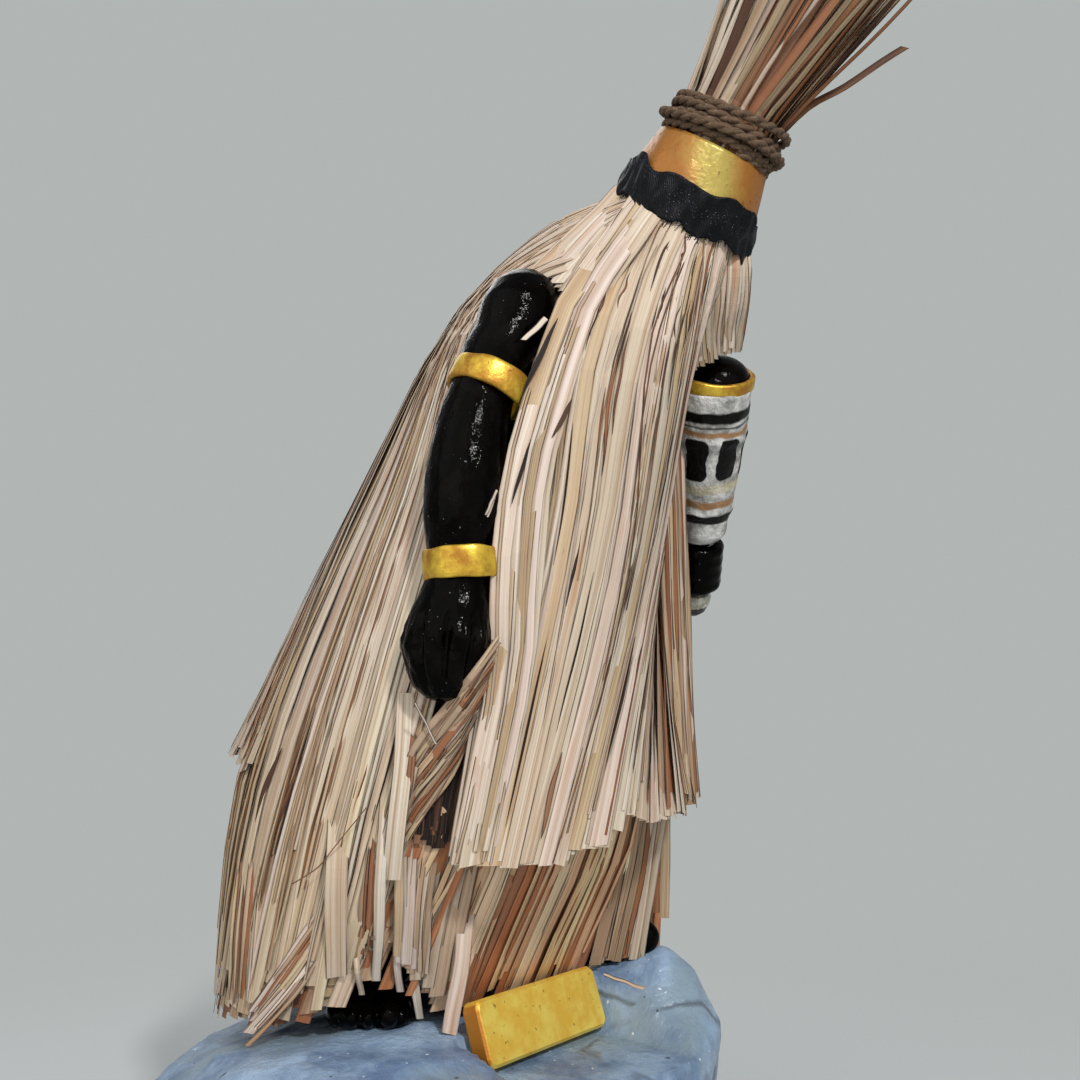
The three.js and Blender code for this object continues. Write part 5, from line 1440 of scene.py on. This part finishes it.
def make_arm():
    rows, cols = 190, 160
    level = np.linspace(0, len(ARM_ROWS) - 1, rows)[None]
    place = through_rings(ARM_ROWS[None, :, :3], level)[0]
    girth = through_rings(np.concatenate([ARM_ROWS[:, 3:], ARM_ROWS[:, 2:3]], 1)[None], level)[0]
    turn = around(cols)[None]
    height = place[:, 2:3]
    hand = 1 - smooth(height, 88, 96)
    finger = turn_near(turn / RAD, FINGERS_FACE) / FINGER_STEP
    groove = bell(finger - np.round(finger), 0.17) * (1 - smooth(np.abs(finger), 1.6, 2.0))
    groove = groove * smooth(height, 75.5, 81)
    curl = 0.35 * np.sin(height * 0.9 + 1.7 * np.round(finger))
    knuckle = 0.7 * bell(height - KNUCKLES_AT, 3.2)
    deep = (GROOVE_DEEP * groove + curl * (1 - groove) * 0.6 - knuckle * (1 - groove)) * hand
    thumb = bell(np.sin(turn) + 0.82, 0.09) * smooth(np.cos(turn), -0.3, 0.3)
    deep = deep + GROOVE_DEEP * thumb * (1 - smooth(height, 92, 99))
    radius = 1 - deep / np.maximum(girth[:, 1:2], 2)
    away = np.stack(np.broadcast_arrays(np.cos(turn), np.sin(turn), 0 * radius), -1)
    x = place[:, 0:1] + girth[:, 0:1] * radius * np.cos(turn)
    y = place[:, 1:2] + girth[:, 1:2] * radius * np.sin(turn)
    points = np.stack(np.broadcast_arrays(x, y, height + DECK), -1)
    rough = lumps(points.reshape(-1, 3), *ARM_LUMPS).reshape(rows, cols)
    points = points + away * ((0.22 + 0.2 * hand) * rough)[..., None]
    quad_mesh("arm_near", points, grid_quads(rows, cols, True)[:, ::-1], "black_paint", ["right_arm"])


make_arm()


# Rounded forms over the CAD feet and dome
BALL_ROWS, BALL_COLS = 12, 20
BALL_VOXEL = 0.4
BALL_ROUNDS = 5


def ball_points(at, size, axes):
    tall = np.linspace(0.04, 0.96, BALL_ROWS) * math.pi
    tall, turn = np.meshgrid(tall, around(BALL_COLS), indexing="ij")
    local = np.stack([np.sin(tall) * np.cos(turn), np.sin(tall) * np.sin(turn), -np.cos(tall)], -1)
    return np.array(at) + local * np.array(size) @ np.array(axes)


def ball_piece(name, balls):
    """Rounded lumps of black plaster, run together into one form. Each has a middle, a size and axes."""
    k = np.arange(BALL_COLS // 2 - 1)
    fan = np.stack([k, k + 1, BALL_COLS - 2 - k, BALL_COLS - 1 - k], -1)
    skin = [grid_quads(BALL_ROWS, BALL_COLS, True), fan[:, ::-1], (BALL_ROWS - 1) * BALL_COLS + fan]
    skin = np.concatenate(skin)
    points = np.stack([ball_points(*ball) for ball in balls])
    quads = [skin + k * BALL_ROWS * BALL_COLS for k in range(len(balls))]
    piece = quad_mesh(name, points, np.concatenate(quads), "black_paint")
    fuse(piece, BALL_VOXEL, BALL_ROUNDS)


# Lumps of a foot: a middle and a size, each along the foot, across it and upward
HEEL = ((-4, 0, 7.2), (15.5, 10.2, 7.2))
INSTEP = ((8, 0, 4.4), (10, 10.4, 4.8))
BIG_TOE = ((16.2, -7.6, 4.6), (5.6, 3.8, 4.8))
TOES = 5
TOE_STEP = 4.0


def even_toe(k):
    odd = math.sin(2.3 * k + 1)
    at = (16.6 - 0.5 * (k - 2) ** 2 + 0.9 * odd, (k - 2) * TOE_STEP + 0.5 * odd, 3.2 + 0.4 * odd)
    return at, (5.2, 2.5 + 0.4 * odd, 3.2 + 0.3 * odd)


def big_toe_first(k):
    if k == 0:
        return BIG_TOE
    return (14.4 - 0.5 * k, (k - 2) * TOE_STEP, 3.4), (5.0, 2.4, 3.2)


def make_toes(name, foot, toe):
    way_x, way_y = foot["way"]
    axes = np.array([[way_x, way_y, 0], [-way_y, way_x, 0], [0, 0, 1.0]])
    stand = np.array([foot["x"], foot["y"], foot["sole"] + foot["lift"]])
    parts = [HEEL, INSTEP] + [toe(k) for k in range(TOES)]
    ball_piece(name, [(np.array(at) @ axes + stand, size, axes) for at, size in parts])


# The dome: a middle, up from the fist and to the right of the axis, then a smaller lump beside it
DOME_UP, DOME_RIGHT = 54.0, 1.8
DOME_SIZE = (7.6, 7.5, 5.2)
LUMP_UP, LUMP_LEFT = 1.6, 2.0
LUMP_SIZE = (5.0, 4.6, 4.2)


def make_dome():
    """The black dome in the mouth of the scepter, a little to one side."""
    axes = np.array([SCEPTER_X, SCEPTER_Y, SCEPTER_UP])
    middle = FIST + DOME_UP * SCEPTER_UP + DOME_RIGHT * RIGHT
    beside = middle + LUMP_UP * SCEPTER_UP - LUMP_LEFT * RIGHT
    ball_piece("dome", [(middle, DOME_SIZE, axes), (beside, LUMP_SIZE, axes)])


make_toes("toes_near", NEAR_FOOT, even_toe)
make_toes("toes_far", FAR_FOOT, big_toe_first)
make_dome()


# CAD nodes that show: the paint of each, and the voxel in millimetres and rounds that soften some
SHOWN = {
    "figure_body": "black_paint",
    "left_arm": "black_paint",
    "scepter_core": "black_paint",
    "name_plaque": "plaque_gold",
    "scepter_pommel": "pommel",
    "leg_pin_right": "steel_wire",
    "leg_pin_left": "steel_wire",
    "shoulder_pin_right": "steel_wire",
    "shoulder_pin_left": "steel_wire",
}
SOFTENED = {"figure_body": (1.0, 6), "left_arm": (0.6, 40), "scepter_core": (0.5, 4)}


for node, name in SHOWN.items():
    mesh = NODES[node].data
    mesh.materials.clear()
    mesh.materials.append(PAINT[name])
    mesh.polygons.foreach_set("use_smooth", np.full(len(mesh.polygons), True))
for node, (voxel, rounds) in SOFTENED.items():
    fuse(NODES[node], voxel, rounds)


# Stage, light and camera
BACK = (*rgb(177, 182, 180), 1)
FLOOR = (*rgb(190, 194, 193), 1)
SKY = (0.82, 0.85, 0.88, 1)
SKY_STRENGTH = 0.36
FLOOR_RADII = [1e-3, 200, 400, 700, 1100, 1800, 3200, 9000]
FLOOR_FADE = (0.12, 0.45)


def add_object(name, data):
    made = bpy.data.objects.new(name, data)
    bpy.context.scene.collection.objects.link(made)
    return made


def make_floor():
    """A pale floor that fades into the colour of the background."""
    turn = around(96)
    circle = np.stack([np.cos(turn), np.sin(turn), 0 * turn], -1)
    points = np.array(FLOOR_RADII)[:, None, None] * circle
    mesh = bpy.data.meshes.new("floor")
    quads = grid_quads(len(FLOOR_RADII), len(turn), True)
    mesh.from_pydata((points.reshape(-1, 3) * MM).tolist(), [], quads.tolist())
    m = Nodes("floor")
    m.set(Base_Color=FLOOR, Roughness=0.8)
    far = m.step(m.vector("LENGTH", m.place()), *FLOOR_FADE)
    light = m.node("ShaderNodeLightPath")
    seen = m.math("MAXIMUM", light.outputs["Is Camera Ray"], light.outputs["Is Glossy Ray"])
    glow = m.node("ShaderNodeEmission", {"Color": BACK})
    inputs = {0: m.math("MULTIPLY", far, seen), 1: m.shader.outputs[0], 2: glow.outputs[0]}
    both = m.node("ShaderNodeMixShader", inputs)
    m.put(m.tree.nodes["Material Output"].inputs["Surface"], both.outputs[0])
    mesh.materials.append(m.material)
    add_object("floor", mesh)


def make_world():
    """Light from all round, behind which the camera sees the plain background."""
    world = bpy.data.worlds.new("studio")
    world.use_nodes = True
    tree = world.node_tree
    back = tree.nodes["Background"]
    back.inputs["Color"].default_value = SKY
    back.inputs["Strength"].default_value = SKY_STRENGTH
    seen = tree.nodes.new("ShaderNodeBackground")
    seen.inputs["Color"].default_value = BACK
    light = tree.nodes.new("ShaderNodeLightPath")
    pick = tree.nodes.new("ShaderNodeMixShader")
    sources = (light.outputs["Is Camera Ray"], back.outputs[0], seen.outputs[0])
    for source, socket in zip(sources, pick.inputs):
        tree.links.new(source, socket)
    tree.links.new(pick.outputs[0], tree.nodes["World Output"].inputs["Surface"])
    bpy.context.scene.world = world


# Lamps: place in millimetres, power in watts, size in metres, and the place that each points at
CHEST = (0, -30, 150)
SKIRT = (0, -20, 70)
LAMPS = {
    "key": ((-560, -820, 860), 10, 0.1, CHEST),
    "fill": ((-1100, 100, 700), 7.6, 1.6, CHEST),
    "rim": ((500, 500, 700), 2, 0.6, CHEST),
    "low": ((-420, -620, 40), 2.2, 1.2, SKIRT),
}


def make_lamp(name, at, power, size, target):
    light = bpy.data.lights.new(name, "AREA")
    light.energy = power
    light.size = size
    made = add_object(name, light)
    made.location = Vector(at) * MM
    made.rotation_euler = (Vector(target) - Vector(at)).to_track_quat("-Z", "Y").to_euler()


def make_camera():
    data = bpy.data.cameras.new("camera")
    data.sensor_width = 36
    data.lens = data.sensor_width * FOCAL / PICTURE
    data.clip_start = 0.01
    data.clip_end = 50
    camera = add_object("camera", data)
    camera.location = Vector(CAMERA_AT) * MM
    camera.rotation_euler = Vector(LOOK).to_track_quat("-Z", "Y").to_euler()
    bpy.context.scene.camera = camera


make_floor()
make_world()
for name, values in LAMPS.items():
    make_lamp(name, *values)
make_camera()
bpy.context.scene.view_settings.view_transform = "Standard"
